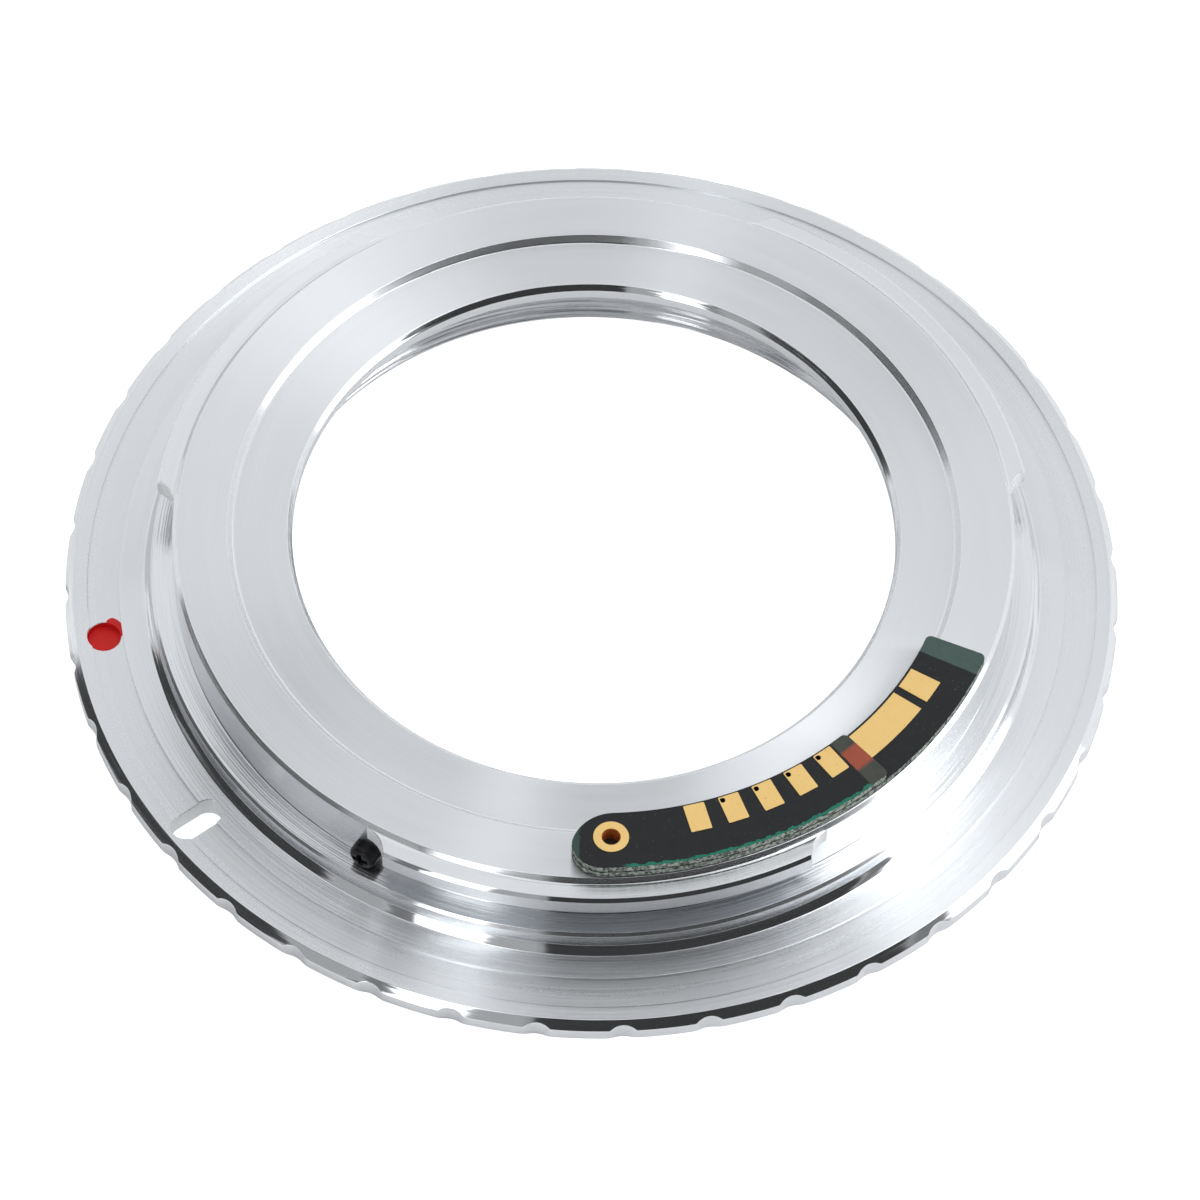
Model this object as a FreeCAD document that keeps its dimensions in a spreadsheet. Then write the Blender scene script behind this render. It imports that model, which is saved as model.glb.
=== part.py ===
import FreeCAD, Part
import math
import os
import Sketcher

# Lens mount adapter: a turned ring with a screw thread for the lens underneath and three
# bayonet lugs for the camera on top, with its paint dot, stop screw and contact chip.
# Millimetres. The origin is the centre of the underside, +Z points to the camera, and the
# red index dot lies on +Y. Angles are in degrees, anticlockwise from +X seen from above.

doc = FreeCAD.newDocument("LensMountAdapter")
sheet = doc.addObject("Spreadsheet::Sheet", "Sizes")

DRIVING = [
    ("threadMinor", 40.92, "minor diameter of the 42 x 1 lens thread"),
    ("threadEntry", 0.55, "bevel at the thread's mouth"),
    ("reliefDepth", 0.64, "run-out groove above the thread, beyond its crests"),
    ("reliefHeight", 0.5, "height of the run-out groove"),
    ("lipReach", 2.04, "how far the inner lip stands inside the thread"),
    ("lipThickness", 0.97, "thickness of the inner lip"),
    ("lipChamfer", 0.3, "bevel on the lip's upper edge"),
    ("neckWall", 4.6, "wall between the run-out groove and the neck"),
    ("flangeThickness", 1.46, "difference of the two register distances"),
    ("pilotStep", 1.5, "how far the pilot stands outside the neck"),
    ("pilotHeight", 1.54, "pilot height above the register face"),
    ("pilotChamfer", 0.19, "bevel on the pilot's upper edge"),
    ("footWidth", 0.45, "width of the cone at the pilot's foot"),
    ("footHeight", 0.48, "height of the cone at the pilot's foot"),
    ("registerWidth", 1.53, "width of the register face"),
    ("bandWidth", 1.92, "width of the recessed band on the flange"),
    ("bandDepth", 0.15, "depth of the recessed band"),
    ("rimWidth", 0.9, "flat between the band and the rim's bevel"),
    ("rimChamfer", 0.5, "bevel between rim and flange top"),
    ("baseChamfer", 0.15, "bevel between rim and underside"),
    ("scallopCount", 40, "grip scallops round the rim"),
    ("scallopRadius", 1.5, "radius of the cutter that makes a scallop"),
    ("scallopDepth", 0.25, "depth of a scallop"),
    ("scallopAngle", 2.8, "angle of the first scallop"),
    ("lugLift", 2.15, "height of a lug's underside above the pilot"),
    ("lugThickness", 1.27, "thickness of a lug"),
    ("lugReach", 1.23, "how far a lug stands outside the neck"),
    ("lugChamfer", 0.2, "bevel on a lug's outer upper edge"),
    ("lugCutter", 2.0, "radius of the cutter that clears between lugs"),
    ("lugOneStart", 139.3, "where the lug beside the screw starts at the neck"),
    ("lugOneSpan", 63.5, "its angle at the neck"),
    ("gapOneThree", 63.7, "angle of the gap after it"),
    ("lugThreeSpan", 62.8, "angle of the next lug"),
    ("gapThreeTwo", 50.8, "angle of the gap after that one"),
    ("lugTwoSpan", 58.15, "angle of the last lug"),
    ("topChamfer", 0.23, "bevel on the top face's outer edge"),
    ("landWidth", 3.09, "width of the top face's raised outer zone"),
    ("stepRun", 0.35, "width of the cone between the zones of the top face"),
    ("stepDepth", 0.38, "depth of the inner zone of the top face"),
    ("slotAngle", 118.5, "angle of the lock-pin slot"),
    ("slotOffset", 0.81, "slot's middle from the register face's edge"),
    ("slotLength", 3.4, "radial length of the slot"),
    ("slotWidth", 1.75, "width of the slot"),
    ("dotAngle", 90.0, "angle of the index dot"),
    ("dotOffset", 1.12, "dot's middle from the register face's edge"),
    ("dotDiameter", 2.05, "diameter of the dot recess"),
    ("dotDepth", 0.6, "depth of the dot recess"),
    ("paintThickness", 0.1, "paint on the floor of the dot recess"),
    ("screwOffset", 0.1, "angle of the stop screw from its lug's start"),
    ("screwClearance", 0.1, "gap between the screw head and the pilot's top"),
    ("screwHead", 1.7, "diameter of the screw head"),
    ("screwHeadHeight", 0.72, "height of the screw head"),
    ("screwHeadBevel", 0.16, "bevel round the screw head"),
    ("screwShank", 1.0, "diameter of the screw's shank and its hole"),
    ("screwLength", 2.6, "length of the shank under the head"),
    ("screwHoleSpare", 0.4, "tapped hole beyond the end of the screw"),
    ("crossLength", 1.0, "length of an arm of the cross recess, tip to tip"),
    ("crossWidth", 0.26, "width of an arm of the cross recess"),
    ("crossDepth", 0.35, "depth of the cross recess"),
    ("chipAngle", 167.4, "angle of the chip's rounded tip"),
    ("boardMargin", 0.07, "boards' outer edge from the top face's edge"),
    ("boardWidth", 3.7, "radial width of the boards"),
    ("boardThickness", 0.5, "thickness of each board"),
    ("topBoardSpan", 46.1, "angle from the tip to the upper board's end"),
    ("baseBoardTail", 24.4, "how far the lower board runs on past that end"),
    ("tipEase", 0.15, "outer rounding of the tip less than half the width"),
    ("tipLean", 0.67, "shift between the tip's two roundings"),
    ("boardCorner", 0.35, "corner rounding at the boards' square ends"),
    ("glueThickness", 0.05, "adhesive film under the chip"),
    ("glueMargin", 0.15, "how far the films stay inside the edges"),
    ("glueEndMargin", 1.0, "angle from the adhesive's end to the board's end"),
    ("bondThickness", 0.04, "bond film between the boards"),
    ("bondEndMargin", 3.2, "angle from the bond film's end to the upper board's end"),
    ("eyeletInset", 1.63, "eyelet's middle from the boards' inner edge"),
    ("eyeletAngle", 5.5, "angle of the eyelet from the tip"),
    ("eyeletDiameter", 2.1, "outer diameter of the eyelet's ring"),
    ("eyeletBore", 1.08, "hole in the eyelet"),
    ("eyeletWall", 0.08, "wall of the eyelet's barrel"),
    ("padThickness", 0.035, "thickness of a gold contact"),
    ("padInset", 0.06, "contacts' inner ends from the board's inner edge"),
    ("padLength", 1.86, "radial length of a contact"),
    ("padWidth", 1.28, "width of a contact"),
    ("padCorner", 0.08, "corner rounding of a contact"),
    ("padPitch", 5.62, "angle from one contact to the next"),
    ("padEndMargin", 5.07, "angle from the last contact's middle to the board's end"),
    ("padCount", 5, "contacts on the upper board"),
    ("viaDiameter", 0.34, "hole through a contact and its board"),
    ("viaInset", 0.24, "hole's middle from the contact's inner end"),
    ("viaMargin", 0.21, "hole's middle from the contact's side"),
    ("longPadInset", 0.11, "long and short contacts from the board's inner edge"),
    ("longPadWidth", 1.97, "radial width of the long and short contacts"),
    ("longPadGap", 0.3, "angle between the bond film and the long contact"),
    ("padGap", 1.4, "angle between the long and the short contact"),
    ("shortPadSpan", 4.0, "angle of the short contact"),
    ("shortPadMargin", 7.1, "angle from the short contact to the lower board's end"),
    ("wellAngle", 28.0, "angle of the component well from the tip"),
    ("wellFloor", 0.1, "board left under the well"),
    ("wellHeadroom", 0.04, "gap over the microcontroller"),
    ("wellClearance", 0.15, "gap from a component to the well's wall"),
    ("controllerSize", 2.0, "side of the microcontroller"),
    ("componentGap", 0.9, "gap between microcontroller and capacitor"),
    ("capacitorLength", 0.6, "length of the capacitor"),
    ("capacitorWidth", 0.3, "width and height of the capacitor"),
]

for row, (alias, size, note) in enumerate(DRIVING, 1):
    sheet.set(f"A{row}", note)
    sheet.set(f"B{row}", str(size))
    sheet.setAlias(f"B{row}", alias)
doc.recompute()

# Diameters, levels and angles that follow from them, as formulas on the sheet.
WORKED_OUT = [
    ("reliefDiameter", "=threadMinor + 2 * reliefDepth"),
    ("lipDiameter", "=threadMinor - 2 * lipReach"),
    ("neckDiameter", "=reliefDiameter + 2 * neckWall"),
    ("pilotDiameter", "=neckDiameter + 2 * pilotStep"),
    ("lugDiameter", "=neckDiameter + 2 * lugReach"),
    ("registerDiameter", "=pilotDiameter + 2 * footWidth + 2 * registerWidth"),
    ("bandDiameter", "=registerDiameter + 2 * bandWidth"),
    ("rimDiameter", "=bandDiameter + 2 * rimWidth + 2 * rimChamfer"),
    ("landDiameter", "=neckDiameter - 2 * topChamfer"),
    ("stepDiameter", "=landDiameter - 2 * landWidth - 2 * stepRun"),
    ("bandLevel", "=flangeThickness - bandDepth"),
    ("pilotTop", "=flangeThickness + pilotHeight"),
    ("lugBottom", "=pilotTop + lugLift"),
    ("lugTop", "=lugBottom + lugThickness"),
    ("totalHeight", "=lugTop + topChamfer"),
    ("innerZone", "=totalHeight - stepDepth"),
    ("lipBottom", "=innerZone - lipThickness"),
    ("threadTop", "=lipBottom - reliefHeight - reliefDepth"),
    ("lugOneEnd", "=lugOneStart + lugOneSpan"),
    ("lugThreeStart", "=lugOneEnd + gapOneThree"),
    ("lugThreeEnd", "=lugThreeStart + lugThreeSpan"),
    ("lugTwoStart", "=lugThreeEnd + gapThreeTwo"),
    ("lugTwoEnd", "=lugTwoStart + lugTwoSpan"),
    ("lugOneNext", "=lugOneStart + 360"),
    ("slotPitch", "=registerDiameter + 2 * slotOffset"),
    ("dotPitch", "=registerDiameter + 2 * dotOffset"),
    ("screwAngle", "=lugOneStart + screwOffset"),
    ("screwLevel", "=pilotTop + screwHead / 2 + screwClearance"),
    ("screwHoleDepth", "=screwLength + screwHoleSpare"),
    ("boardOuter", "=landDiameter - 2 * boardMargin"),
    ("boardInner", "=boardOuter - 2 * boardWidth"),
    ("tipOuterRadius", "=boardWidth / 2 - tipEase"),
    ("tipInnerRadius", "=boardWidth / 2 + tipLean * tipLean / 4 / tipEase"),
    ("baseBoardSpan", "=topBoardSpan + baseBoardTail"),
    ("bondSpan", "=topBoardSpan - bondEndMargin"),
    ("baseBoardBottom", "=totalHeight + glueThickness"),
    ("baseBoardTop", "=baseBoardBottom + boardThickness"),
    ("topBoardBottom", "=baseBoardTop + bondThickness"),
    ("topBoardTop", "=topBoardBottom + boardThickness"),
    ("eyeletPitch", "=boardInner + 2 * eyeletInset"),
    ("padInner", "=boardInner + 2 * padInset"),
    ("padAngle", "=topBoardSpan - padEndMargin - (padCount - 1) * padPitch"),
    ("viaOffset", "=padWidth / 2 - viaMargin"),
    ("longPadInner", "=boardInner + 2 * longPadInset"),
    ("longPadOuter", "=longPadInner + 2 * longPadWidth"),
    ("longPadStart", "=bondSpan + longPadGap"),
    ("shortPadEnd", "=baseBoardSpan - shortPadMargin"),
    ("shortPadStart", "=shortPadEnd - shortPadSpan"),
    ("longPadEnd", "=shortPadStart - padGap"),
    ("wellPitch", "=(boardInner + boardOuter) / 2"),
    ("wellWidth", "=controllerSize + 2 * wellClearance"),
    ("wellLength", "=controllerSize + componentGap + capacitorWidth + 2 * wellClearance"),
    ("wellLevel", "=baseBoardBottom + wellFloor"),
    ("controllerHeight", "=boardThickness - wellFloor - wellHeadroom"),
]
for row, (alias, formula) in enumerate(WORKED_OUT, len(DRIVING) + 2):
    sheet.set(f"B{row}", formula)
    sheet.setAlias(f"B{row}", alias)
    doc.recompute()


def value(formula):
    """The number that a formula on the sheet's names gives now."""
    got = sheet.evalExpression(formula)
    return float(getattr(got, "Value", got))


def bound(formula):
    """The same formula as another object of the document has to write it."""
    words = formula.replace("(", "( ").replace(")", " )").split()
    names = {alias for alias, *rest in DRIVING + WORKED_OUT}
    return " ".join("Sizes." + word if word in names else word for word in words)


def new_body(label, angle=None, level=None):
    """An empty body; angle turns it about Z and level lifts it."""
    body = doc.addObject("PartDesign::Body", label)
    body.Label = label
    turn = value(angle) if angle else 0.0
    lift = value(level) if level else 0.0
    up = FreeCAD.Vector(0, 0, 1)
    body.Placement = FreeCAD.Placement(FreeCAD.Vector(0, 0, lift), FreeCAD.Rotation(up, turn))
    if angle:
        body.setExpression("Placement.Rotation.Angle", bound(angle))
    if level:
        body.setExpression("Placement.Base.z", bound(level))
    return body


def new_sketch(body, role, name, level=None, angle=None):
    """A sketch on an origin plane, lifted to a level and turned about the plane's normal."""
    plane = next(item for item in body.Origin.OriginFeatures if item.Role == role)
    sketch = body.newObject("Sketcher::SketchObject", name)
    sketch.AttachmentSupport = [(plane, "")]
    sketch.MapMode = "FlatFace"
    turn = value(angle) if angle else 0.0
    lift = value(level) if level else 0.0
    up = FreeCAD.Vector(0, 0, 1)
    sketch.AttachmentOffset = FreeCAD.Placement(FreeCAD.Vector(0, 0, lift), FreeCAD.Rotation(up, turn))
    if angle:
        sketch.setExpression("AttachmentOffset.Rotation.Angle", bound(angle))
    if level:
        sketch.setExpression("AttachmentOffset.Base.z", bound(level))
    return sketch


def drive(sketch, kind, where, formula):
    """Adds a dimension of this kind and ties it to the sheet."""
    amount = value(formula)
    text = bound(formula)
    if kind == "Angle":
        amount = math.radians(amount)
        text = f"({text}) * 1 deg"
    index = sketch.addConstraint(Sketcher.Constraint(kind, *where, amount))
    sketch.setExpression(f"Constraints[{index}]", text)


def pin(sketch, item, end, x, y):
    """Holds a point of the sketch at x, y from its origin; a zero puts it on the axis."""
    for kind, axis, formula in (("DistanceX", -2, x), ("DistanceY", -1, y)):
        if formula == "0":
            sketch.addConstraint(Sketcher.Constraint("PointOnObject", item, end, axis))
        else:
            drive(sketch, kind, (-1, 1, item, end), formula)


def polygon(sketch, corners):
    """A closed outline of straight lines through these corners."""
    points = [FreeCAD.Vector(value(x), value(y), 0) for x, y in corners]
    count = len(points)
    first = sketch.GeometryCount
    for at in range(count):
        sketch.addGeometry(Part.LineSegment(points[at], points[(at + 1) % count]), False)
    for at in range(count):
        after = first + (at + 1) % count
        sketch.addConstraint(Sketcher.Constraint("Coincident", first + at, 2, after, 1))
    for at, (x, y) in enumerate(corners):
        pin(sketch, first + at, 1, x, y)


def circle(sketch, diameter, x, y="0"):
    """A circle with its centre at x, y."""
    centre = FreeCAD.Vector(value(x), value(y), 0)
    up = FreeCAD.Vector(0, 0, 1)
    item = sketch.addGeometry(Part.Circle(centre, up, value(diameter) / 2), False)
    drive(sketch, "Diameter", (item,), diameter)
    pin(sketch, item, 3, x, y)


def polar(radius, angle):
    return FreeCAD.Vector(radius * math.cos(angle), radius * math.sin(angle), 0)


def arc(sketch, centre, radius, start, end):
    """An arc, anticlockwise from start to end."""
    whole = Part.Circle(centre, FreeCAD.Vector(0, 0, 1), radius)
    return sketch.addGeometry(Part.ArcOfCircle(whole, start, end), False)


def join(sketch, kind, pairs):
    for one, one_end, other, other_end in pairs:
        sketch.addConstraint(Sketcher.Constraint(kind, one, one_end, other, other_end))


def arc_slot(sketch, inner_radius, cutter, half_angle):
    """The path of a round cutter that runs round a neck: it is even about the sketch's X axis."""
    radius, width, half = value(inner_radius), value(cutter), math.radians(value(half_angle))
    centre = FreeCAD.Vector(0, 0, 0)
    middle = radius + width
    inner = arc(sketch, centre, radius, -half, half)
    outer = arc(sketch, centre, radius + 2 * width, -half, half)
    upper = arc(sketch, polar(middle, half), width, half, half + math.pi)
    lower = arc(sketch, polar(middle, -half), width, -half - math.pi, -half)
    ray = sketch.addGeometry(Part.LineSegment(centre, polar(middle, half)), True)
    join(sketch, "Coincident", [(inner, 3, -1, 1), (outer, 3, -1, 1)])
    join(sketch, "Coincident", [(ray, 1, -1, 1), (ray, 2, upper, 3)])
    join(sketch, "Tangent", [(inner, 2, upper, 2), (outer, 2, upper, 1), (inner, 1, lower, 1)])
    join(sketch, "Tangent", [(outer, 1, lower, 2)])
    drive(sketch, "Radius", (inner,), inner_radius)
    drive(sketch, "Radius", (upper,), cutter)
    drive(sketch, "Angle", (ray,), half_angle)
    sketch.addConstraint(Sketcher.Constraint("Vertical", upper, 3, lower, 3))


def straight_slot(sketch, middle, length, width):
    """A slot with round ends along the sketch's X axis; length is measured over its ends."""
    at, reach, half = value(middle), (value(length) - value(width)) / 2, value(width) / 2
    quarter = math.pi / 2
    far = arc(sketch, FreeCAD.Vector(at + reach, 0, 0), half, -quarter, quarter)
    near = arc(sketch, FreeCAD.Vector(at - reach, 0, 0), half, quarter, 3 * quarter)
    sides = []
    for side in (half, -half):
        ends = FreeCAD.Vector(at - reach, side, 0), FreeCAD.Vector(at + reach, side, 0)
        sides.append(sketch.addGeometry(Part.LineSegment(*ends), False))
    upper, lower = sides
    join(sketch, "Tangent", [(upper, 1, near, 1), (upper, 2, far, 2)])
    join(sketch, "Tangent", [(lower, 1, near, 2), (lower, 2, far, 1)])
    drive(sketch, "Radius", (far,), f"{width} / 2")
    pin(sketch, near, 3, f"{middle} - ( {length} - {width} ) / 2", "0")
    pin(sketch, far, 3, f"{middle} + ( {length} - {width} ) / 2", "0")


def sector(sketch, inner, outer, start, end):
    """A piece of a ring between two diameters and two angles."""
    low, high = value(inner) / 2, value(outer) / 2
    first, last = math.radians(value(start)), math.radians(value(end))
    centre = FreeCAD.Vector(0, 0, 0)
    near = arc(sketch, centre, low, first, last)
    far = arc(sketch, centre, high, first, last)
    closing = sketch.addGeometry(Part.LineSegment(polar(low, last), polar(high, last)), False)
    opening = sketch.addGeometry(Part.LineSegment(polar(low, first), polar(high, first)), False)
    join(sketch, "Coincident", [(near, 3, -1, 1), (far, 3, -1, 1), (near, 2, closing, 1)])
    join(sketch, "Coincident", [(far, 2, closing, 2), (near, 1, opening, 1), (far, 1, opening, 2)])
    for item, angle in ((closing, end), (opening, start)):
        sketch.addConstraint(Sketcher.Constraint("PointOnObject", -1, 1, item))
        drive(sketch, "Angle", (item,), angle)
    drive(sketch, "Radius", (near,), f"( {inner} ) / 2")
    drive(sketch, "Radius", (far,), f"( {outer} ) / 2")


def board_outline(sketch, span, inset="0"):
    """The chip's outline: a ring piece whose tip, at angle zero, is two arcs that meet smoothly."""
    low, high = value(f"boardInner / 2 + {inset}"), value(f"boardOuter / 2 - {inset}")
    inner_round, outer_round = value(f"tipInnerRadius - {inset}"), value(f"tipOuterRadius - {inset}")
    last = math.radians(value(span))
    centre = FreeCAD.Vector(0, 0, 0)
    seat = value("boardOuter / 2 - tipOuterRadius")
    outer_at = math.asin(value("tipOuterRadius") / seat)
    outer_centre = polar(seat, outer_at)
    # The inner arc's centre lies on its own circle, one difference of the radii further on.
    reach, apart = low + inner_round, inner_round - outer_round
    turn = math.acos((reach * reach + seat * seat - apart * apart) / (2 * reach * seat))
    inner_at = outer_at + turn
    inner_centre = polar(reach, inner_at)
    meet = outer_centre - inner_centre
    meeting = math.atan2(meet.y, meet.x)
    near = arc(sketch, centre, low, inner_at, last)
    far = arc(sketch, centre, high, outer_at, last)
    closing = sketch.addGeometry(Part.LineSegment(polar(low, last), polar(high, last)), False)
    outer_tip = arc(sketch, outer_centre, outer_round, meeting, outer_at)
    inner_tip = arc(sketch, inner_centre, inner_round, inner_at - math.pi, meeting)
    ray = sketch.addGeometry(Part.LineSegment(centre, outer_centre), True)
    join(sketch, "Coincident", [(near, 3, -1, 1), (far, 3, -1, 1), (near, 2, closing, 1)])
    join(sketch, "Coincident", [(far, 2, closing, 2), (ray, 1, -1, 1), (ray, 2, outer_tip, 3)])
    join(sketch, "Tangent", [(near, 1, inner_tip, 1), (inner_tip, 2, outer_tip, 1)])
    join(sketch, "Tangent", [(outer_tip, 2, far, 1)])
    sketch.addConstraint(Sketcher.Constraint("PointOnObject", -1, 1, closing))
    drive(sketch, "Angle", (closing,), span)
    drive(sketch, "Angle", (ray,), "asin(tipOuterRadius / (boardOuter / 2 - tipOuterRadius)) / 1 deg")
    drive(sketch, "Radius", (near,), f"boardInner / 2 + {inset}")
    drive(sketch, "Radius", (far,), f"boardOuter / 2 - {inset}")
    drive(sketch, "Radius", (outer_tip,), f"tipOuterRadius - {inset}")
    drive(sketch, "Radius", (inner_tip,), f"tipInnerRadius - {inset}")


def feature(body, kind, name, sketch, length=None):
    """A pad, pocket or revolution made from a sketch."""
    item = body.newObject(f"PartDesign::{kind}", name)
    item.Profile = sketch
    if length:
        item.Length = value(length)
        item.setExpression("Length", bound(length))
    doc.recompute()
    return item


def revolve(body, name, sketch, axis):
    item = body.newObject("PartDesign::Revolution", name)
    item.Profile = sketch
    item.ReferenceAxis = (sketch, [axis])
    item.Angle = 360
    doc.recompute()
    return item


def pattern(body, name, original, count, angle):
    """Copies a cut about the body's Z axis: count places over this angle."""
    item = body.newObject("PartDesign::PolarPattern", name)
    item.Originals = [original]
    spindle = next(part for part in body.Origin.OriginFeatures if part.Role == "Z_Axis")
    item.Axis = (spindle, [""])
    item.Angle = value(angle)
    item.Occurrences = int(value(count))
    item.setExpression("Angle", bound(angle))
    item.setExpression("Occurrences", bound(count))
    body.Tip = item
    doc.recompute()
    return item


def round_uprights(body, name, base, radius, corners):
    """Rounds the upright edges of base that stand at these corners."""
    chosen = []
    for number, edge in enumerate(base.Shape.Edges, 1):
        low, high = edge.Vertexes[0].Point, edge.Vertexes[-1].Point
        upright = abs(low.z - high.z) > 1e-6 and math.hypot(low.x - high.x, low.y - high.y) < 1e-6
        if upright and any(math.hypot(low.x - spot.x, low.y - spot.y) < 1e-3 for spot in corners):
            chosen.append(f"Edge{number}")
    item = body.newObject("PartDesign::Fillet", name)
    item.Base = (base, chosen)
    item.Radius = value(radius)
    item.setExpression("Radius", bound(radius))
    doc.recompute()
    return item


# Adapter ring: the section turned about Z, then the milled cuts.
ring = new_body("adapter_ring")
section = new_sketch(ring, "XZ_Plane", "RingSection")
polygon(section, [
    ("rimDiameter / 2 - baseChamfer", "0"),
    ("rimDiameter / 2", "baseChamfer"),
    ("rimDiameter / 2", "flangeThickness - rimChamfer"),
    ("rimDiameter / 2 - rimChamfer", "flangeThickness"),
    ("bandDiameter / 2", "flangeThickness"),
    ("bandDiameter / 2", "bandLevel"),
    ("registerDiameter / 2", "bandLevel"),
    ("registerDiameter / 2", "flangeThickness"),
    ("pilotDiameter / 2 + footWidth", "flangeThickness"),
    ("pilotDiameter / 2", "flangeThickness + footHeight"),
    ("pilotDiameter / 2", "pilotTop - pilotChamfer"),
    ("pilotDiameter / 2 - pilotChamfer", "pilotTop"),
    ("neckDiameter / 2", "pilotTop"),
    ("neckDiameter / 2", "lugBottom"),
    ("lugDiameter / 2", "lugBottom"),
    ("lugDiameter / 2", "lugTop - lugChamfer"),
    ("lugDiameter / 2 - lugChamfer", "lugTop"),
    ("neckDiameter / 2", "lugTop"),
    ("neckDiameter / 2 - topChamfer", "totalHeight"),
    ("stepDiameter / 2 + stepRun", "totalHeight"),
    ("stepDiameter / 2", "innerZone"),
    ("lipDiameter / 2 + lipChamfer", "innerZone"),
    ("lipDiameter / 2", "innerZone - lipChamfer"),
    ("lipDiameter / 2", "lipBottom"),
    ("reliefDiameter / 2", "lipBottom"),
    ("reliefDiameter / 2", "lipBottom - reliefHeight"),
    ("threadMinor / 2", "threadTop"),
    ("threadMinor / 2", "threadEntry"),
    ("threadMinor / 2 + threadEntry", "0"),
])
turned = revolve(ring, "TurnedRing", section, "V_Axis")

# The cutter clears the neck between each lug and the next one round.
GAPS = [("lugOneEnd", "lugThreeStart"), ("lugThreeEnd", "lugTwoStart"), ("lugTwoEnd", "lugOneNext")]
for start, end in GAPS:
    gap = new_sketch(ring, "XY_Plane", "GapAfter_" + start, "lugTop", f"( {start} + {end} ) / 2")
    arc_slot(gap, "neckDiameter / 2", "lugCutter", f"( {end} - {start} ) / 2")
    whole = ring.Shape.Volume
    feature(ring, "Pocket", "CutAfter_" + start, gap, "lugThickness")
    assert ring.Shape.Volume < whole - 1.0, "a lug gap cut nothing"

# Grip scallops round the rim.
scallop_sketch = new_sketch(ring, "XY_Plane", "ScallopSketch", "flangeThickness", "scallopAngle")
circle(scallop_sketch, "scallopRadius * 2", "rimDiameter / 2 + scallopRadius - scallopDepth")
scallop = feature(ring, "Pocket", "Scallop", scallop_sketch, "flangeThickness")
whole = ring.Shape.Volume
pattern(ring, "Scallops", scallop, "scallopCount", "360")
assert ring.Shape.Volume < whole - 1.0, "the scallops cut nothing"

# The lock pin's slot goes through the flange, the dot's recess stays blind.
slot_sketch = new_sketch(ring, "XY_Plane", "PinSlotSketch", "flangeThickness", "slotAngle")
straight_slot(slot_sketch, "slotPitch / 2", "slotLength", "slotWidth")
feature(ring, "Pocket", "PinSlot", slot_sketch, "flangeThickness")
dot_sketch = new_sketch(ring, "XY_Plane", "DotSketch", "bandLevel", "dotAngle")
circle(dot_sketch, "dotDiameter", "dotPitch / 2")
feature(ring, "Pocket", "DotRecess", dot_sketch, "dotDepth")

# The tapped hole runs into the neck wall on a radius: its sketch stands just outside the
# wall, with its X axis along the tangent and its Y axis up.
hole_sketch = new_sketch(ring, "XZ_Plane", "ScrewHoleSketch")
stand_off = 0.2
tangent_turn = FreeCAD.Rotation(FreeCAD.Vector(0, 1, 0), value("screwAngle + 90"))
hole_sketch.AttachmentOffset = FreeCAD.Placement(FreeCAD.Vector(1, 0, -1), tangent_turn)
hole_radius = f"( neckDiameter / 2 + {stand_off} )"
hole_sketch.setExpression("AttachmentOffset.Rotation.Angle", bound("screwAngle + 90"))
hole_sketch.setExpression("AttachmentOffset.Base.x", bound(f"{hole_radius} * cos( screwAngle )"))
hole_sketch.setExpression("AttachmentOffset.Base.z", bound(f"-1 * {hole_radius} * sin( screwAngle )"))
circle(hole_sketch, "screwShank", "0", "screwLevel")
whole = ring.Shape.Volume
feature(ring, "Pocket", "ScrewHole", hole_sketch, f"screwHoleDepth + {stand_off}")
assert ring.Shape.Volume < whole - 1.0, "the screw hole cut nothing"

# Index dot: paint on the floor of its recess.
paint = new_body("index_dot", "dotAngle", "bandLevel - dotDepth")
paint_sketch = new_sketch(paint, "XY_Plane", "PaintSketch")
circle(paint_sketch, "dotDiameter", "dotPitch / 2")
feature(paint, "Pad", "Paint", paint_sketch, "paintThickness")

# Stop screw: turned about its own X axis, which points out along the radius.
screw = new_body("stop_screw", "screwAngle", "screwLevel")
screw_sketch = new_sketch(screw, "XY_Plane", "ScrewSection")
polygon(screw_sketch, [
    ("neckDiameter / 2 - screwLength", "0"),
    ("neckDiameter / 2 + screwHeadHeight", "0"),
    ("neckDiameter / 2 + screwHeadHeight", "screwHead / 2 - screwHeadBevel"),
    ("neckDiameter / 2 + screwHeadHeight - screwHeadBevel", "screwHead / 2"),
    ("neckDiameter / 2", "screwHead / 2"),
    ("neckDiameter / 2", "screwShank / 2"),
    ("neckDiameter / 2 - screwLength", "screwShank / 2"),
])
revolve(screw, "TurnedScrew", screw_sketch, "H_Axis")
cross_sketch = new_sketch(screw, "YZ_Plane", "CrossSketch", "neckDiameter / 2 + screwHeadHeight")
arm, half = "crossLength / 2", "crossWidth / 2"
polygon(cross_sketch, [
    (arm, f"-1 * {half}"), (arm, half), (half, half), (half, arm),
    (f"-1 * {half}", arm), (f"-1 * {half}", half), (f"-1 * {arm}", half),
    (f"-1 * {arm}", f"-1 * {half}"), (f"-1 * {half}", f"-1 * {half}"), (f"-1 * {half}", f"-1 * {arm}"),
    (half, f"-1 * {arm}"), (half, f"-1 * {half}"),
])
whole = screw.Shape.Volume
feature(screw, "Pocket", "CrossRecess", cross_sketch, "crossDepth")
assert screw.Shape.Volume < whole, "the cross recess cut nothing"

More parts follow.
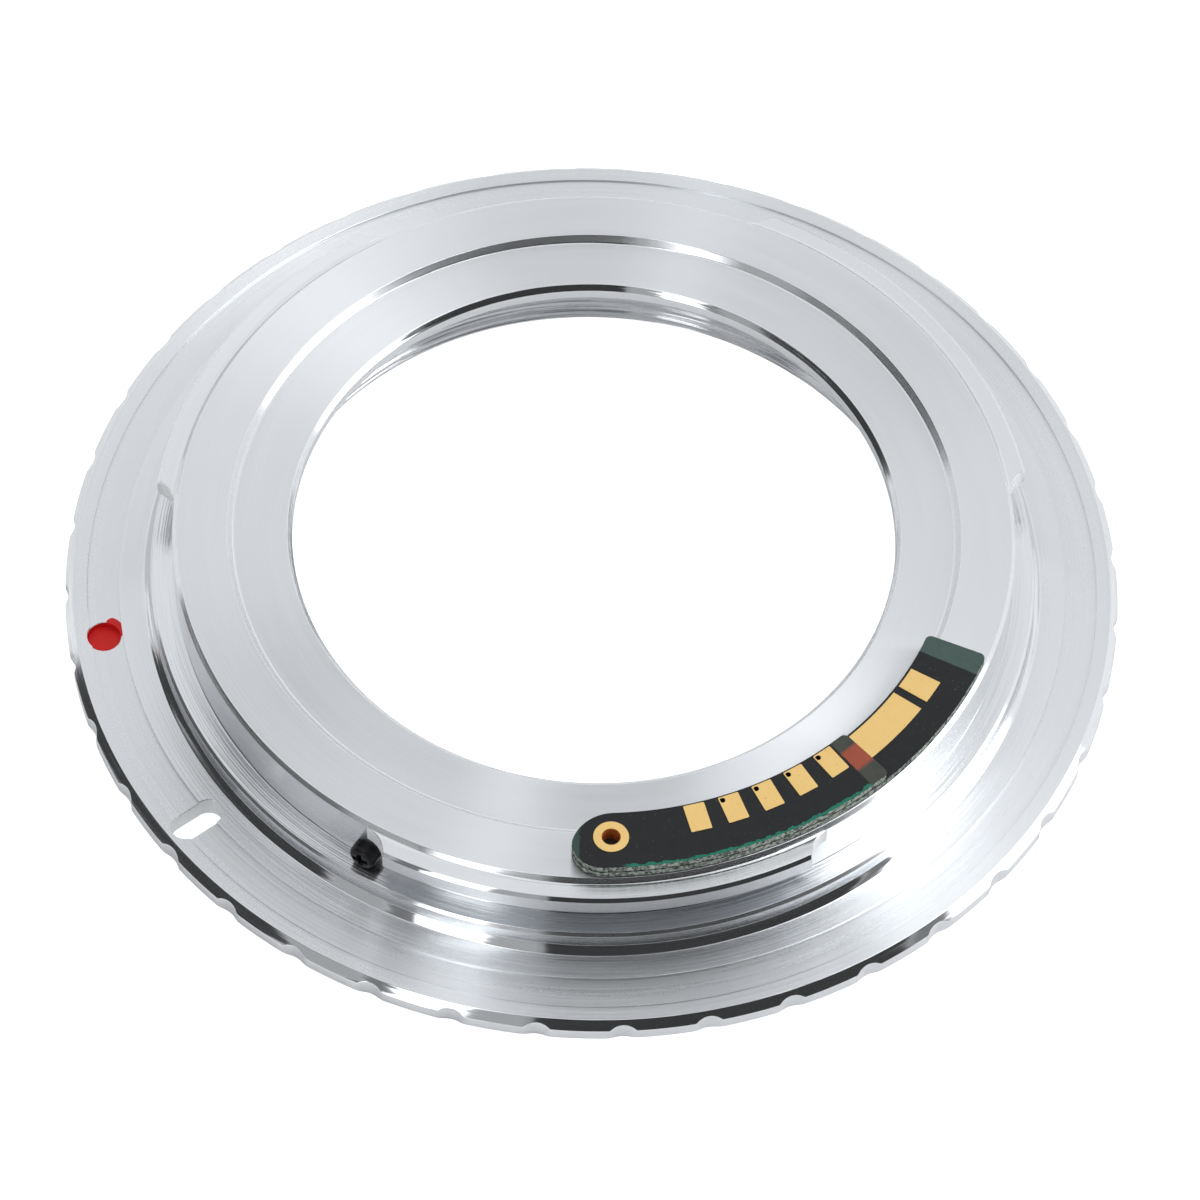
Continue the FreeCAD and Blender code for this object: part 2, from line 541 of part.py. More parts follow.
# Adhesive film: it lies on the raised outer zone of the top face, under the lower board.
glue = new_body("adhesive_film", "chipAngle", "totalHeight")
glue_sketch = new_sketch(glue, "XY_Plane", "GlueSketch")
tip_angle = "tipOuterRadius / boardOuter * 360 / pi"
sector(
    glue_sketch,
    "landDiameter - 2 * landWidth + 2 * glueMargin",
    "boardOuter - 2 * glueMargin",
    tip_angle,
    "baseBoardSpan - glueEndMargin",
)
feature(glue, "Pad", "Glue", glue_sketch, "glueThickness")


def square_corners(span):
    """The two corners at a board's square end."""
    last = math.radians(value(span))
    return [polar(value("boardInner") / 2, last), polar(value("boardOuter") / 2, last)]


def board(label, level, span):
    """A board with its rounded tip, its square end and the hole for the eyelet's barrel."""
    body = new_body(label, "chipAngle", level)
    outline = new_sketch(body, "XY_Plane", label + "_outline")
    board_outline(outline, span)
    plate = feature(body, "Pad", label + "_plate", outline, "boardThickness")
    round_uprights(body, label + "_corners", plate, "boardCorner", square_corners(span))
    hole = new_sketch(body, "XY_Plane", label + "_hole_sketch", "boardThickness", "eyeletAngle")
    circle(hole, "eyeletBore + 2 * eyeletWall", "eyeletPitch / 2")
    feature(body, "Pocket", label + "_hole", hole, "boardThickness")
    return body


# Lower board, with a well from above for the sealed components.
base_board = board("chip_base_board", "baseBoardBottom", "baseBoardSpan")
well_sketch = new_sketch(base_board, "XY_Plane", "WellSketch", "boardThickness", "wellAngle")
polygon(well_sketch, [
    ("wellPitch / 2 - wellWidth / 2", "-1 * wellLength / 2"),
    ("wellPitch / 2 + wellWidth / 2", "-1 * wellLength / 2"),
    ("wellPitch / 2 + wellWidth / 2", "wellLength / 2"),
    ("wellPitch / 2 - wellWidth / 2", "wellLength / 2"),
])
feature(base_board, "Pocket", "Well", well_sketch, "boardThickness - wellFloor")

# Upper board: all contacts but the first have a hole through them and the board.
top_board = board("chip_top_board", "topBoardBottom", "topBoardSpan")
via_sketch = new_sketch(top_board, "XY_Plane", "ViaSketch", "boardThickness", "padAngle + padPitch")
circle(via_sketch, "viaDiameter", "padInner / 2 + viaInset", "-1 * viaOffset")
via = feature(top_board, "Pocket", "Via", via_sketch, "boardThickness")
pattern(top_board, "Vias", via, "padCount - 1", "( padCount - 2 ) * padPitch")

# Bond film between the boards, a little smaller than the upper one.
bond = new_body("bond_film", "chipAngle", "baseBoardTop")
bond_sketch = new_sketch(bond, "XY_Plane", "BondSketch")
board_outline(bond_sketch, "bondSpan", "glueMargin")
feature(bond, "Pad", "Bond", bond_sketch, "bondThickness")
bond_hole = new_sketch(bond, "XY_Plane", "BondHoleSketch", "bondThickness", "eyeletAngle")
circle(bond_hole, "eyeletBore + 2 * eyeletWall", "eyeletPitch / 2")
feature(bond, "Pocket", "BondHole", bond_hole, "bondThickness")


def component(label, length, width, height, middle):
    """A component on the floor of the well; middle is its place along the board."""
    body = new_body(label, "chipAngle + wellAngle", "wellLevel")
    sketch = new_sketch(body, "XY_Plane", label + "_sketch")
    polygon(sketch, [
        (f"wellPitch / 2 - {width} / 2", f"{middle} - {length} / 2"),
        (f"wellPitch / 2 + {width} / 2", f"{middle} - {length} / 2"),
        (f"wellPitch / 2 + {width} / 2", f"{middle} + {length} / 2"),
        (f"wellPitch / 2 - {width} / 2", f"{middle} + {length} / 2"),
    ])
    feature(body, "Pad", label + "_body", sketch, height)


left_end = "( wellLength / 2 - wellClearance - controllerSize / 2 )"
component("microcontroller", "controllerSize", "controllerSize", "controllerHeight", f"-1 * {left_end}")
right_end = "( wellLength / 2 - wellClearance - capacitorWidth / 2 )"
component("capacitor", "capacitorWidth", "capacitorLength", "capacitorWidth", right_end)

# Gold contacts on the upper board.
for number in range(1, int(value("padCount")) + 1):
    label = f"contact_pad_{number}"
    pad_body = new_body(label, f"chipAngle + padAngle + {number - 1} * padPitch", "topBoardTop")
    pad_sketch = new_sketch(pad_body, "XY_Plane", label + "_sketch")
    near, far, side = "padInner / 2", "padInner / 2 + padLength", "padWidth / 2"
    polygon(pad_sketch, [(near, f"-1 * {side}"), (far, f"-1 * {side}"), (far, side), (near, side)])
    plate = feature(pad_body, "Pad", label + "_plate", pad_sketch, "padThickness")
    spots = [
        FreeCAD.Vector(value(x), value(y), 0)
        for x in (near, far)
        for y in (side, f"-1 * {side}")
    ]
    round_uprights(pad_body, label + "_corners", plate, "padCorner", spots)
    if number > 1:
        hole = new_sketch(pad_body, "XY_Plane", label + "_hole_sketch", "padThickness")
        circle(hole, "viaDiameter", "padInner / 2 + viaInset", "-1 * viaOffset")
        feature(pad_body, "Pocket", label + "_hole", hole, "padThickness")

# Long and short contacts on the lower board; the long one starts under the upper board.
for label, start, end in (
    ("long_contact_pad", "longPadStart", "longPadEnd"),
    ("short_contact_pad", "shortPadStart", "shortPadEnd"),
):
    pad_body = new_body(label, "chipAngle", "baseBoardTop")
    pad_sketch = new_sketch(pad_body, "XY_Plane", label + "_sketch")
    sector(pad_sketch, "longPadInner", "longPadOuter", start, end)
    feature(pad_body, "Pad", label + "_plate", pad_sketch, "padThickness")

# Plated eyelet: a barrel through both boards with a flat ring on top.
eyelet = new_body("plated_eyelet")
eyelet_turn = "( chipAngle + eyeletAngle )"
for axis, ratio in (("x", "cos"), ("y", "sin")):
    eyelet.setExpression(f"Placement.Base.{axis}", bound(f"eyeletPitch / 2 * {ratio}( {eyelet_turn} )"))
eyelet_sketch = new_sketch(eyelet, "XZ_Plane", "EyeletSection")
polygon(eyelet_sketch, [
    ("eyeletBore / 2", "baseBoardBottom"),
    ("eyeletBore / 2 + eyeletWall", "baseBoardBottom"),
    ("eyeletBore / 2 + eyeletWall", "topBoardTop"),
    ("eyeletDiameter / 2", "topBoardTop"),
    ("eyeletDiameter / 2", "topBoardTop + padThickness"),
    ("eyeletBore / 2", "topBoardTop + padThickness"),
])
revolve(eyelet, "TurnedEyelet", eyelet_sketch, "V_Axis")

doc.recompute()
for item in doc.Objects:
    broken = {"Invalid", "Error"} & set(item.State)
    if broken:
        raise RuntimeError(f"{item.Label} failed: {item.State}")

pieces = [item for item in doc.Objects if item.TypeId == "PartDesign::Body"]
for piece in pieces:
    if piece.Shape.isNull() or not piece.Shape.isValid() or len(piece.Shape.Solids) != 1:
        raise RuntimeError(f"{piece.Label} is not one valid solid")

os.makedirs("parts", exist_ok=True)
for piece in pieces:
    piece.Shape.exportStep(f"parts/{piece.Label}.step")
    print(f"{piece.Label}: {piece.Shape.Volume:.3f} mm3")
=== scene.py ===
import bmesh
import bpy
import math
import numpy as np
from mathutils import Matrix, Vector
from types import SimpleNamespace


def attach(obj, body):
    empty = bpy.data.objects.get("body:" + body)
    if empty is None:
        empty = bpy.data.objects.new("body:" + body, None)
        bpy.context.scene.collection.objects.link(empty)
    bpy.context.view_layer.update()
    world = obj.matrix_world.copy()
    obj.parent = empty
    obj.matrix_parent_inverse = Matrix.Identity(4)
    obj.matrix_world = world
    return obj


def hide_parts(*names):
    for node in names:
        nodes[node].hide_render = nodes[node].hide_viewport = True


# Lens mount adapter: the turned ring, the paint dot, the stop screw and the contact chip.
# Sizes below are in millimetres and degrees, as in the part; meshes are made in metres.
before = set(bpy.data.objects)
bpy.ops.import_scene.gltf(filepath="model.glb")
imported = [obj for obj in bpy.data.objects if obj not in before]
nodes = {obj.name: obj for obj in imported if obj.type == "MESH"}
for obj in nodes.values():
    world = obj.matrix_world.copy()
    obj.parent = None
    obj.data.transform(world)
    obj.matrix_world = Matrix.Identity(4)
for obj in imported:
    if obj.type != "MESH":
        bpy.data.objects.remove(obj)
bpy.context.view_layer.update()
scene = bpy.context.scene
print("frame loaded:", len(nodes), "nodes")


# Grids of points and the meshes made from them

def polarGrid(radius, angle, height):
    # x = radius cos(angle), y = radius sin(angle), z = height, for whole arrays at once
    radius, angle, height = np.broadcast_arrays(radius, np.radians(angle), height)
    return np.stack([radius * np.cos(angle), radius * np.sin(angle), height], axis=-1)


def spin(profile, angles):
    # every point (r, z) of a profile turned to every angle
    return polarGrid(profile[:, 0, None], angles, profile[:, 1, None])


def arc(a, b, c, steps):
    # the quadratic curve (1 - t)^2 a + 2 t (1 - t) b + t^2 c, with t along the second axis
    t = np.linspace(0, 1, steps + 1).reshape((1, -1) + (1,) * (np.ndim(a) - 1))
    return (1 - t) ** 2 * a[:, None] + 2 * t * (1 - t) * b[:, None] + t ** 2 * c[:, None]


def roundOff(corners, radius, steps, finish, edgeFinish):
    # an arc in place of each inner corner; corners may be (n, 2) or (n, columns, 2). An arc starts its
    # radius away from the corner, or at 0.45 of the straight where that is shorter.
    # finish is the value of each straight, edgeFinish that of the arcs.
    corners = np.asarray(corners, float)
    here = corners[1:-1]
    radius = np.broadcast_to(np.reshape(radius, (-1,) + (1,) * (corners.ndim - 1)), here.shape[:-1] + (1,))
    ends = []
    for other in (corners[:-2], corners[2:]):
        way = other - here
        length = np.maximum(np.linalg.norm(way, axis=-1, keepdims=True), 1e-9)
        ends.append(here + way / length * np.minimum(radius, 0.45 * length))
    arcs = arc(ends[0], here, ends[1], steps).reshape((-1,) + corners.shape[1:])
    tone = [finish[0]]
    for straight in finish[1:]:
        tone += [edgeFinish] * steps + [straight]
    return np.concatenate([corners[:1], arcs, corners[-1:]]), np.array(tone, float)


def patch(grid, tone=0.0, kept=None, kind=0):
    # one grid of points with its tone, the faces that are kept or None for all, and its material
    return grid, tone, kept, kind


def sewMesh(name, patches, sharp=31.0, weakWidth=0.085):
    # Each patch is (points[rows, columns, 3], tone, faces kept, material); tone and material are one number
    # or one for each strip between rows. Grids that share a border have the same points there, so merging
    # doubles closes the surface. Faces narrower than weakWidth are roundings: they are marked weak, so
    # that the weighted normals follow the wide faces beside them.
    points, quads, tones, kinds, strengths = [], [], [], [], []
    start = 0
    for grid, tone, kept, kind in patches:
        rows, columns = grid.shape[:2]
        at = start + np.arange(rows * columns).reshape(rows, columns)
        quad = np.stack([at[:-1, :-1], at[:-1, 1:], at[1:, 1:], at[1:, :-1]], axis=-1)
        strip = np.broadcast_to(np.reshape(tone, (-1, 1)), (rows - 1, columns - 1))
        kept = np.broadcast_to(True if kept is None else kept, (rows - 1, columns - 1))
        width = np.linalg.norm(grid[1:] - grid[:-1], axis=-1)
        strengths.append(np.where((width[:, 1:] + width[:, :-1])[kept] < 2 * weakWidth, -16384, 16384))
        points.append(grid.reshape(-1, 3))
        quads.append(quad[kept])
        tones.append(strip[kept])
        kinds.append(np.broadcast_to(np.reshape(kind, (-1, 1)), kept.shape)[kept])
        start += rows * columns
    mesh = bpy.data.meshes.new(name)
    mesh.from_pydata((np.concatenate(points) * 0.001).tolist(), [], np.concatenate(quads).tolist())
    mesh.polygons.foreach_set("material_index", np.concatenate(kinds).astype(np.int32))
    for layer, kind, values in (
        ("tone", "FLOAT", np.concatenate(tones).astype(np.float32)),
        ("__mod_weightednormals_faceweight", "INT", np.concatenate(strengths).astype(np.int32)),
    ):
        mesh.attributes.new(layer, kind, "FACE").data.foreach_set("value", values)
    work = bmesh.new()
    work.from_mesh(mesh)
    bmesh.ops.remove_doubles(work, verts=work.verts, dist=4e-7)
    bmesh.ops.dissolve_degenerate(work, dist=1e-8, edges=work.edges)
    bmesh.ops.recalc_face_normals(work, faces=work.faces)
    work.to_mesh(mesh)
    work.free()
    mesh.polygons.foreach_set("use_smooth", np.ones(len(mesh.polygons), bool))
    mesh.set_sharp_from_angle(angle=math.radians(sharp))
    piece = bpy.data.objects.new(name, mesh)
    scene.collection.objects.link(piece)
    return piece


def finishPiece(piece, node, materials):
    # the piece stands for its CAD node, which it hides, and takes the given materials
    for material in materials:
        piece.data.materials.append(material)
    weigh = piece.modifiers.new("WeightedNormal", "WEIGHTED_NORMAL")
    weigh.mode = "CORNER_ANGLE"
    weigh.use_face_influence = True
    weigh.keep_sharp = True
    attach(piece, "root")
    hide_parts(node)
    return piece


# Node materials: sockets that are reckoned with like numbers

class Value:
    # a node's output; +, - and * with numbers or other outputs each add a Math node
    def __init__(self, socket):
        self.socket = socket
        self.tree = socket.id_data

    def __add__(self, other):
        return calc("ADD", self, other)

    def __sub__(self, other):
        return calc("SUBTRACT", self, other)

    def __rsub__(self, other):
        return calc("SUBTRACT", other, self)

    def __mul__(self, other):
        return calc("MULTIPLY", self, other)


def wire(given, socket):
    # links an output to a socket, or writes a number or a vector into it; None leaves it alone
    if isinstance(given, Value):
        given.tree.links.new(given.socket, socket)
    elif given is not None:
        socket.default_value = given


def addNode(tree, kind, inputs=(), **settings):
    # a node of one kind with its settings, its inputs wired in their own order; all its outputs
    node = tree.nodes.new("ShaderNode" + kind)
    for name, given in settings.items():
        setattr(node, name, given)
    for given, socket in zip(inputs, node.inputs):
        wire(given, socket)
    return [Value(socket) for socket in node.outputs]


def treeOf(inputs):
    # the node tree that the outputs among the inputs belong to
    return next(given.tree for given in inputs if isinstance(given, Value))


def calc(operation, *inputs, kind="Math"):
    # one operation of the Math node
    return addNode(treeOf(inputs), kind, inputs, operation=operation)[0]


def vectorCalc(operation, *inputs):
    # the same with vectors
    return calc(operation, *inputs, kind="VectorMath")


def scaled(vector, factor):
    # the vector times a number
    return vectorCalc("SCALE", vector, None, None, factor)


def join(x, y, z):
    # the vector (x, y, z)
    return addNode(treeOf((x, y, z)), "CombineXYZ", (x, y, z))[0]


def apart(vector):
    # the vector's x, y and z
    return addNode(vector.tree, "SeparateXYZ", [vector])


def distance(x, y):
    # the square root of x^2 + y^2
    return calc("SQRT", x * x + y * y)


def between(value, low, high, toLow=0.0, toHigh=1.0):
    # a smooth step from toLow to toHigh as value goes from low to high
    inputs = (value, low, high, toLow, toHigh)
    return addNode(value.tree, "MapRange", inputs, interpolation_type="SMOOTHSTEP")[0]


def noise(place, scale, detail=2.0, roughness=0.5):
    # cloudy noise of 0 to 1 with scale clouds to a unit of place
    return addNode(place.tree, "TexNoise", (place, None, scale, detail, roughness))[0]


def blend(factor, first, second):
    # the colour first + factor (second - first)
    node = factor.tree.nodes.new("ShaderNodeMix")
    node.data_type = "RGBA"
    for given, socket in ((factor, node.inputs[0]), (first, node.inputs[6]), (second, node.inputs[7])):
        wire(given if isinstance(given, Value) else (*given, 1.0), socket)
    return Value(node.outputs[2])


def bump(height, strength, depth):
    # a normal that leans with the slope of height, where a height of 1 stands depth metres high
    node = height.tree.nodes.new("ShaderNodeBump")
    for name, given in (("Strength", strength), ("Distance", depth), ("Height", height)):
        wire(given, node.inputs[name])
    return Value(node.outputs[0])


def attribute(tree, name):
    # a mesh attribute as a number
    node = tree.nodes.new("ShaderNodeAttribute")
    node.attribute_name = name
    return Value(node.outputs["Fac"])


def newMaterial(name, colour, metallic=0.0, roughness=0.5, **constants):
    # a Principled material with its constants, and the place of the shaded point in millimetres,
    # in Object coordinates
    material = bpy.data.materials.new(name)
    material.use_nodes = True
    shader = material.node_tree.nodes["Principled BSDF"]
    constants.update({"Base Color": (*colour, 1.0), "Metallic": metallic, "Roughness": roughness})
    for socket, given in constants.items():
        shader.inputs[socket.replace("_", " ")].default_value = given
    node = material.node_tree.nodes.new("ShaderNodeTexCoord")
    return material, shader, scaled(Value(node.outputs["Object"]), 1000.0)


def coat(shader, colour, roughness=None, normal=None):
    # the three sockets that the materials link
    for name, given in (("Base Color", colour), ("Roughness", roughness), ("Normal", normal)):
        wire(given, shader.inputs[name])


def times(colour, factor):
    # a colour made darker or lighter, up to 1
    return tuple(min(c * factor, 1.0) for c in colour)


# Camera: it looks from the side of the chip, 55 degrees above the floor

view = dict(
    place=(-190.560, 37.714, 277.930),
    aim=(-3.9035, 0.2524, 4.0),
    roll=2.32,
    lens=164.23,
)


def makeCamera(settings):
    # at its place, with -Z toward the aim and then rolled about the line of sight
    data = bpy.data.cameras.new("Camera")
    data.lens = settings["lens"]
    data.sensor_width = 36.0
    data.clip_start, data.clip_end = 0.02, 20.0
    camera = bpy.data.objects.new("Camera", data)
    scene.collection.objects.link(camera)
    place, aim = Vector(settings["place"]) * 0.001, Vector(settings["aim"]) * 0.001
    camera.location = place
    turn = (aim - place).to_track_quat("-Z", "Y").to_matrix().to_4x4()
    camera.rotation_euler = (turn @ Matrix.Rotation(math.radians(settings["roll"]), 4, "Z")).to_euler()
    scene.camera = camera


makeCamera(view)
print("camera placed")


# The ring

ring = dict(
    rim=32.5, rimBevel=0.5, baseBevel=0.15, flangeTop=1.46,
    bandOut=31.1, bandTop=1.31, register=29.18, rimSeam=31.8, baseSeam=31.9, flatSeam=28.0,
    pilot=27.2, footWidth=0.45, footHeight=0.48, pilotTop=3.0, pilotBevel=0.19,
    neck=25.7, neckSeam=3.25, neckRow=4.75, top=6.65, topBevel=0.23, baseRows=(27.5, 24.0, 21.4),
    landIn=22.38, stepIn=22.03, innerTop=6.27,
    lip=18.42, lipBevel=0.3, lipUnder=5.30, relief=21.1, reliefLow=4.80,
    crest=20.46, root=21.0, entry=0.55, pitch=1.0,
    scallops=40, scallopFirst=2.8, scallopRadius=1.5, scallopDepth=0.25,
    lugUnder=5.15, lugTop=6.42, lugOut=26.93, lugBevel=0.2, lugCutter=2.0,
    lugs=((139.3, 202.8), (266.5, 329.3), (20.1, 78.25)), lugEndEase=0.26, lugEndDrop=0.11,
    lugRows=(25.7, 25.74, 25.79, 25.85, 25.91, 25.96, 26.1, 26.3, 26.5, 26.68, 26.73, 26.78, 26.89, 26.93),
    lugSpread=9.0, lugFillet=0.26, lugFilletDepth=0.03, lugEase=0.04, edge=0.035, cutEase=0.03,
)
slotCut = {"angle": 118.5, "from": 28.29, "to": 31.69, "half": 0.875, "low": 0.0}
dotCut = {"angle": 90.5, "middle": 30.31, "radius": 1.04, "low": 0.71}
screwHole = {"angle": 139.4, "level": 3.95, "radius": 0.5, "depth": 3.0}

# from one end of a cut to its other end, in half a turn
halfTurn = np.pi * np.linspace(0, 1, 181)


def cutTable(x, half):
    # half angle of a cut on each circle round Z, from its half width at places x along its own radius
    return np.hypot(x, half), np.degrees(np.arctan2(half, x))


def roundTable(middle, radius):
    # the table of a round cut
    return cutTable(middle - radius * np.cos(halfTurn), radius * np.sin(halfTurn))


def halfAngle(cut, radius):
    # the cut's half angle on the circle of each radius, and 0 past its ends
    low, angle = cut["table"]
    return np.interp(radius, low, angle, left=0.0, right=0.0)


def openSlits(angles, radius, cuts):
    # columns within a cut's reach move aside by its half angle on that row, less the farther they are
    # from its middle; of the middle column's two copies one goes to each side
    sides = np.where(np.isclose(angles, np.roll(angles, -1)), -1.0, 1.0)
    angles = np.broadcast_to(angles, np.broadcast(angles, radius).shape)
    for cut in cuts:
        half = halfAngle(cut, radius)
        away = (np.asarray(angles) - cut["angle"] + 180.0) % 360.0 - 180.0
        way = np.where(np.abs(away) < 1e-9, sides, np.sign(away))
        reach = cut.get("reach", 4.0)
        moved = cut["angle"] + way * (half + np.abs(away) * (1 - half / reach))
        angles = np.where(np.abs(away) < reach, moved, angles)
    return angles


def cutRows(cut, radii):
    # the rows of a grid that a cut touches, with one more at each of its ends
    ins = np.flatnonzero(halfAngle(cut, radii) > 0)
    return slice(ins[0] - 1, ins[-1] + 2)


def cutWalls(cut, radii, top, tone, floor=None, kind=0):
    # upright walls between the border of a cut on the top grid and its lower border, and a floor if blind
    half = halfAngle(cut, radii)
    patches, borders = [], []
    for side in (-1, 1):
        upper = polarGrid(radii, cut["angle"] + side * half, top)
        borders.append(polarGrid(radii, cut["angle"] + side * half, cut["low"]))
        patches.append(patch(np.stack([upper, borders[-1]]), tone, kind=kind))
    if floor is not None:
        patches.append(patch(np.stack(borders), floor, kind=kind))
    return patches


def thin(values, least):
    # sorted, without the ones that are nearer than least to the one before
    values = np.sort(np.unique(np.round(values, 5)))
    return values[np.concatenate([[True], np.diff(values) > least])]


# the slot is a straight one with round ends; the dot's recess and the screw's hole are circles
slotAt = slotCut["from"] + (slotCut["to"] - slotCut["from"]) * (1 - np.cos(halfTurn)) / 2
inEnd = np.minimum(np.minimum(slotAt - slotCut["from"], slotCut["to"] - slotAt), slotCut["half"])
slotHalf = np.sqrt(np.maximum(slotCut["half"] ** 2 - (slotCut["half"] - inEnd) ** 2, 0))
slotCut["table"] = cutTable(slotAt, slotHalf)
dotCut["table"] = roundTable(dotCut["middle"], dotCut["radius"])
screwHole["table"] = (
    screwHole["level"] - screwHole["radius"] * np.cos(halfTurn),
    np.degrees(np.arcsin(screwHole["radius"] * np.sin(halfTurn) / ring["neck"])),
)


def ringColumns(g):
    # the angles at which every grid of the ring has a column: closer in the scallops, and exactly
    # at the lugs' ends and the cuts' middles, which come twice
    cutter = g.rim + g.scallopRadius - g.scallopDepth
    cosine = (g.rim ** 2 + cutter ** 2 - g.scallopRadius ** 2) / (2 * g.rim * cutter)
    edge = math.degrees(math.acos(cosine))
    period = 360.0 / g.scallops
    inside = np.linspace(-edge, edge, 7)
    outside = edge + (period - 2 * edge) * np.arange(1, 5) / 5
    first = g.scallopFirst + period * np.arange(g.scallops)[:, None]
    base = (first + np.append(inside, outside)).ravel() % 360.0
    ends = np.array(g.lugs)
    middles = np.array([slotCut["angle"], dotCut["angle"], screwHole["angle"]])
    special = np.concatenate([
        ends[:, 0], ends[:, 0] + g.lugEndEase, ends[:, 1], ends[:, 1] - g.lugEndEase,
        middles, middles, middles[:2] - 0.1, middles[:2] + 0.1, [0.0],
    ])
    away = np.abs((base[:, None] - special + 180.0) % 360.0 - 180.0).min(axis=1)
    return np.sort(np.concatenate([base[away > 0.05], special, [360.0]]))


angles = ringColumns(SimpleNamespace(**ring))
# the strip between the two copies of a cut's middle column has no faces
besideSlits = np.diff(angles) > 1e-6


def neckFoot(g):
    # the neck below the lugs with the screw's hole, whose rows are heights and not radii
    inHole = screwHole["level"] + screwHole["radius"] * np.cos(np.radians(np.linspace(0, 180, 11)))
    heights = np.concatenate([[g.lugUnder, g.neckRow], inHole, [g.neckSeam]])[:, None]
    turned = openSlits(angles, heights, [screwHole])
    patches = [patch(polarGrid(g.neck, turned, heights), 0.6, besideSlits)]
    # the hole's two sides run straight inward to its depth, and the strip between them is its bottom
    half = halfAngle(screwHole, inHole)
    across = g.neck * np.sin(np.radians(half))
    along = polarGrid(1.0, screwHole["angle"], 0.0)
    tangent = polarGrid(1.0, screwHole["angle"] + 90.0, 0.0)
    walls = []
    for side in (-1, 1):
        mouth = polarGrid(g.neck, screwHole["angle"] + side * half, inHole)
        bottom = along * (g.neck - screwHole["depth"]) + side * across[:, None] * tangent
        walls.append(bottom + inHole[:, None] * np.array((0, 0, 1.0)))
        patches.append(patch(np.stack([mouth, walls[-1]]), 0.3, kind=1))
    return patches + [patch(np.stack(walls), 0.3, kind=1)]


def pilotWall(g):
    # one turned profile from the neck over the pilot and its foot cone to the flange
    e = g.edge
    corners = [
        (g.neck, g.neckSeam), (g.neck, g.pilotTop), (g.pilot - g.pilotBevel, g.pilotTop),
        (g.pilot, g.pilotTop - g.pilotBevel), (g.pilot, g.flangeTop + g.footHeight),
        (g.pilot + g.footWidth, g.flangeTop), (g.flatSeam, g.flangeTop),
    ]
    profile, tone = roundOff(corners, [0.07, e, e, 0.06, 0.05], 2, [0.6, 0.7, 0.6, 0.8, 0.95, 0.4], 0.85)
    return [patch(spin(profile, angles), tone)]


def flangeFace(g):
    # register face, recessed band and rim flat, with the slot and the dot's recess; the band's two
    # steps are small arcs, and the doubled columns of an open cut lie cutEase lower
    e = g.edge
    extra = np.concatenate([slotCut["table"][0][::12], dotCut["table"][0][::15], [g.flatSeam, g.rimSeam]])
    flats = []
    for low, high, level in (
        (g.flatSeam, g.register - e, g.flangeTop),
        (g.register, g.bandOut, g.bandTop),
        (g.bandOut + e, g.rimSeam, g.flangeTop),
    ):
        inside = extra[(extra > low + 0.02) & (extra < high - 0.02)]
        radii = thin(np.concatenate([[low], inside, [high]]), 0.02)
        flats.append(np.stack([radii, np.full(len(radii), level)], axis=-1))
    soft = np.array([[-e, 0.0], [-0.3 * e, -0.3 * e], [0.0, -e]])
    step = soft + (g.register, g.flangeTop)
    outer = soft * (-1, 1) + (g.bandOut, g.flangeTop)
    profile = np.concatenate([flats[0][:-1], step, flats[1], outer[::-1], flats[2][1:]])
    strips = np.where(profile[:-1, 0] < g.register - e, 0.4, 0.3)
    strips[np.abs(np.diff(profile[:, 1])) > 1e-6] = 1.0
    radii, level = profile[:, :1], profile[:, 1:]
    cuts = [slotCut, dotCut]
    turned = openSlits(angles, radii, cuts)
    onMiddle = [np.abs(angles - cut["angle"]) < 1e-9 for cut in cuts]
    halves = sum(np.where(on, halfAngle(cut, radii), 0.0) for on, cut in zip(onMiddle, cuts))
    drop = np.where(halves > 0.05, g.cutEase, 0.0)
    patches = [patch(polarGrid(radii, turned, level - drop), strips, besideSlits)]
    for cut, floor in ((slotCut, None), (dotCut, 0.3)):
        rows = cutRows(cut, profile[:, 0])
        radii = profile[rows, 0]
        dropped = profile[rows, 1] - np.where(halfAngle(cut, radii) > 0.05, g.cutEase, 0.0)
        patches += cutWalls(cut, radii, dropped, 0.5, floor, 1)
    return patches, profile[cutRows(slotCut, profile[:, 0]), 0]


def rimWall(g):
    # the rim's section changes with the angle, because the scallops cut through both bevels: its
    # reach is where the ray from Z first meets a scallop's circle, and both bevels stay at 45 degrees
    cutter = g.rim + g.scallopRadius - g.scallopDepth
    period = 360.0 / g.scallops
    away = np.radians((angles - g.scallopFirst + period / 2) % period - period / 2)
    inside = np.maximum(g.scallopRadius ** 2 - (cutter * np.sin(away)) ** 2, 0)
    reach = np.where(np.abs(away) < math.radians(3), cutter * np.cos(away) - np.sqrt(inside), g.rim)
    reach = np.minimum(reach, g.rim)
    corners = np.stack([np.stack(np.broadcast_arrays(radius, level, reach)[:2], -1) for radius, level in (
        (g.rimSeam, g.flangeTop),
        (g.rim - g.rimBevel, g.flangeTop),
        (reach, g.flangeTop - g.rimBevel + g.rim - reach),
        (reach, np.maximum(g.baseBevel - (g.rim - reach), 0.0)),
        (np.minimum(g.rim - g.baseBevel, reach), 0.0),
        (g.baseSeam, 0.0),
    )])
    section, tone = roundOff(corners, [g.edge, 0.05, 0.04, 0.04], 2, [0.25, 0.95, 0.6, 0.9, 0.1], 0.95)
    return [patch(polarGrid(section[..., 0], angles, section[..., 1]), tone)]


def underside(g, slotRadii):
    # flat rings from the rim in to the thread's entry, with the slot
    radii = np.concatenate([[g.baseSeam], slotRadii[::-1], g.baseRows, [g.crest + g.entry]])[:, None]
    return [patch(polarGrid(radii, openSlits(angles, radii, [slotCut]), 0.0), 0.05, besideSlits)]


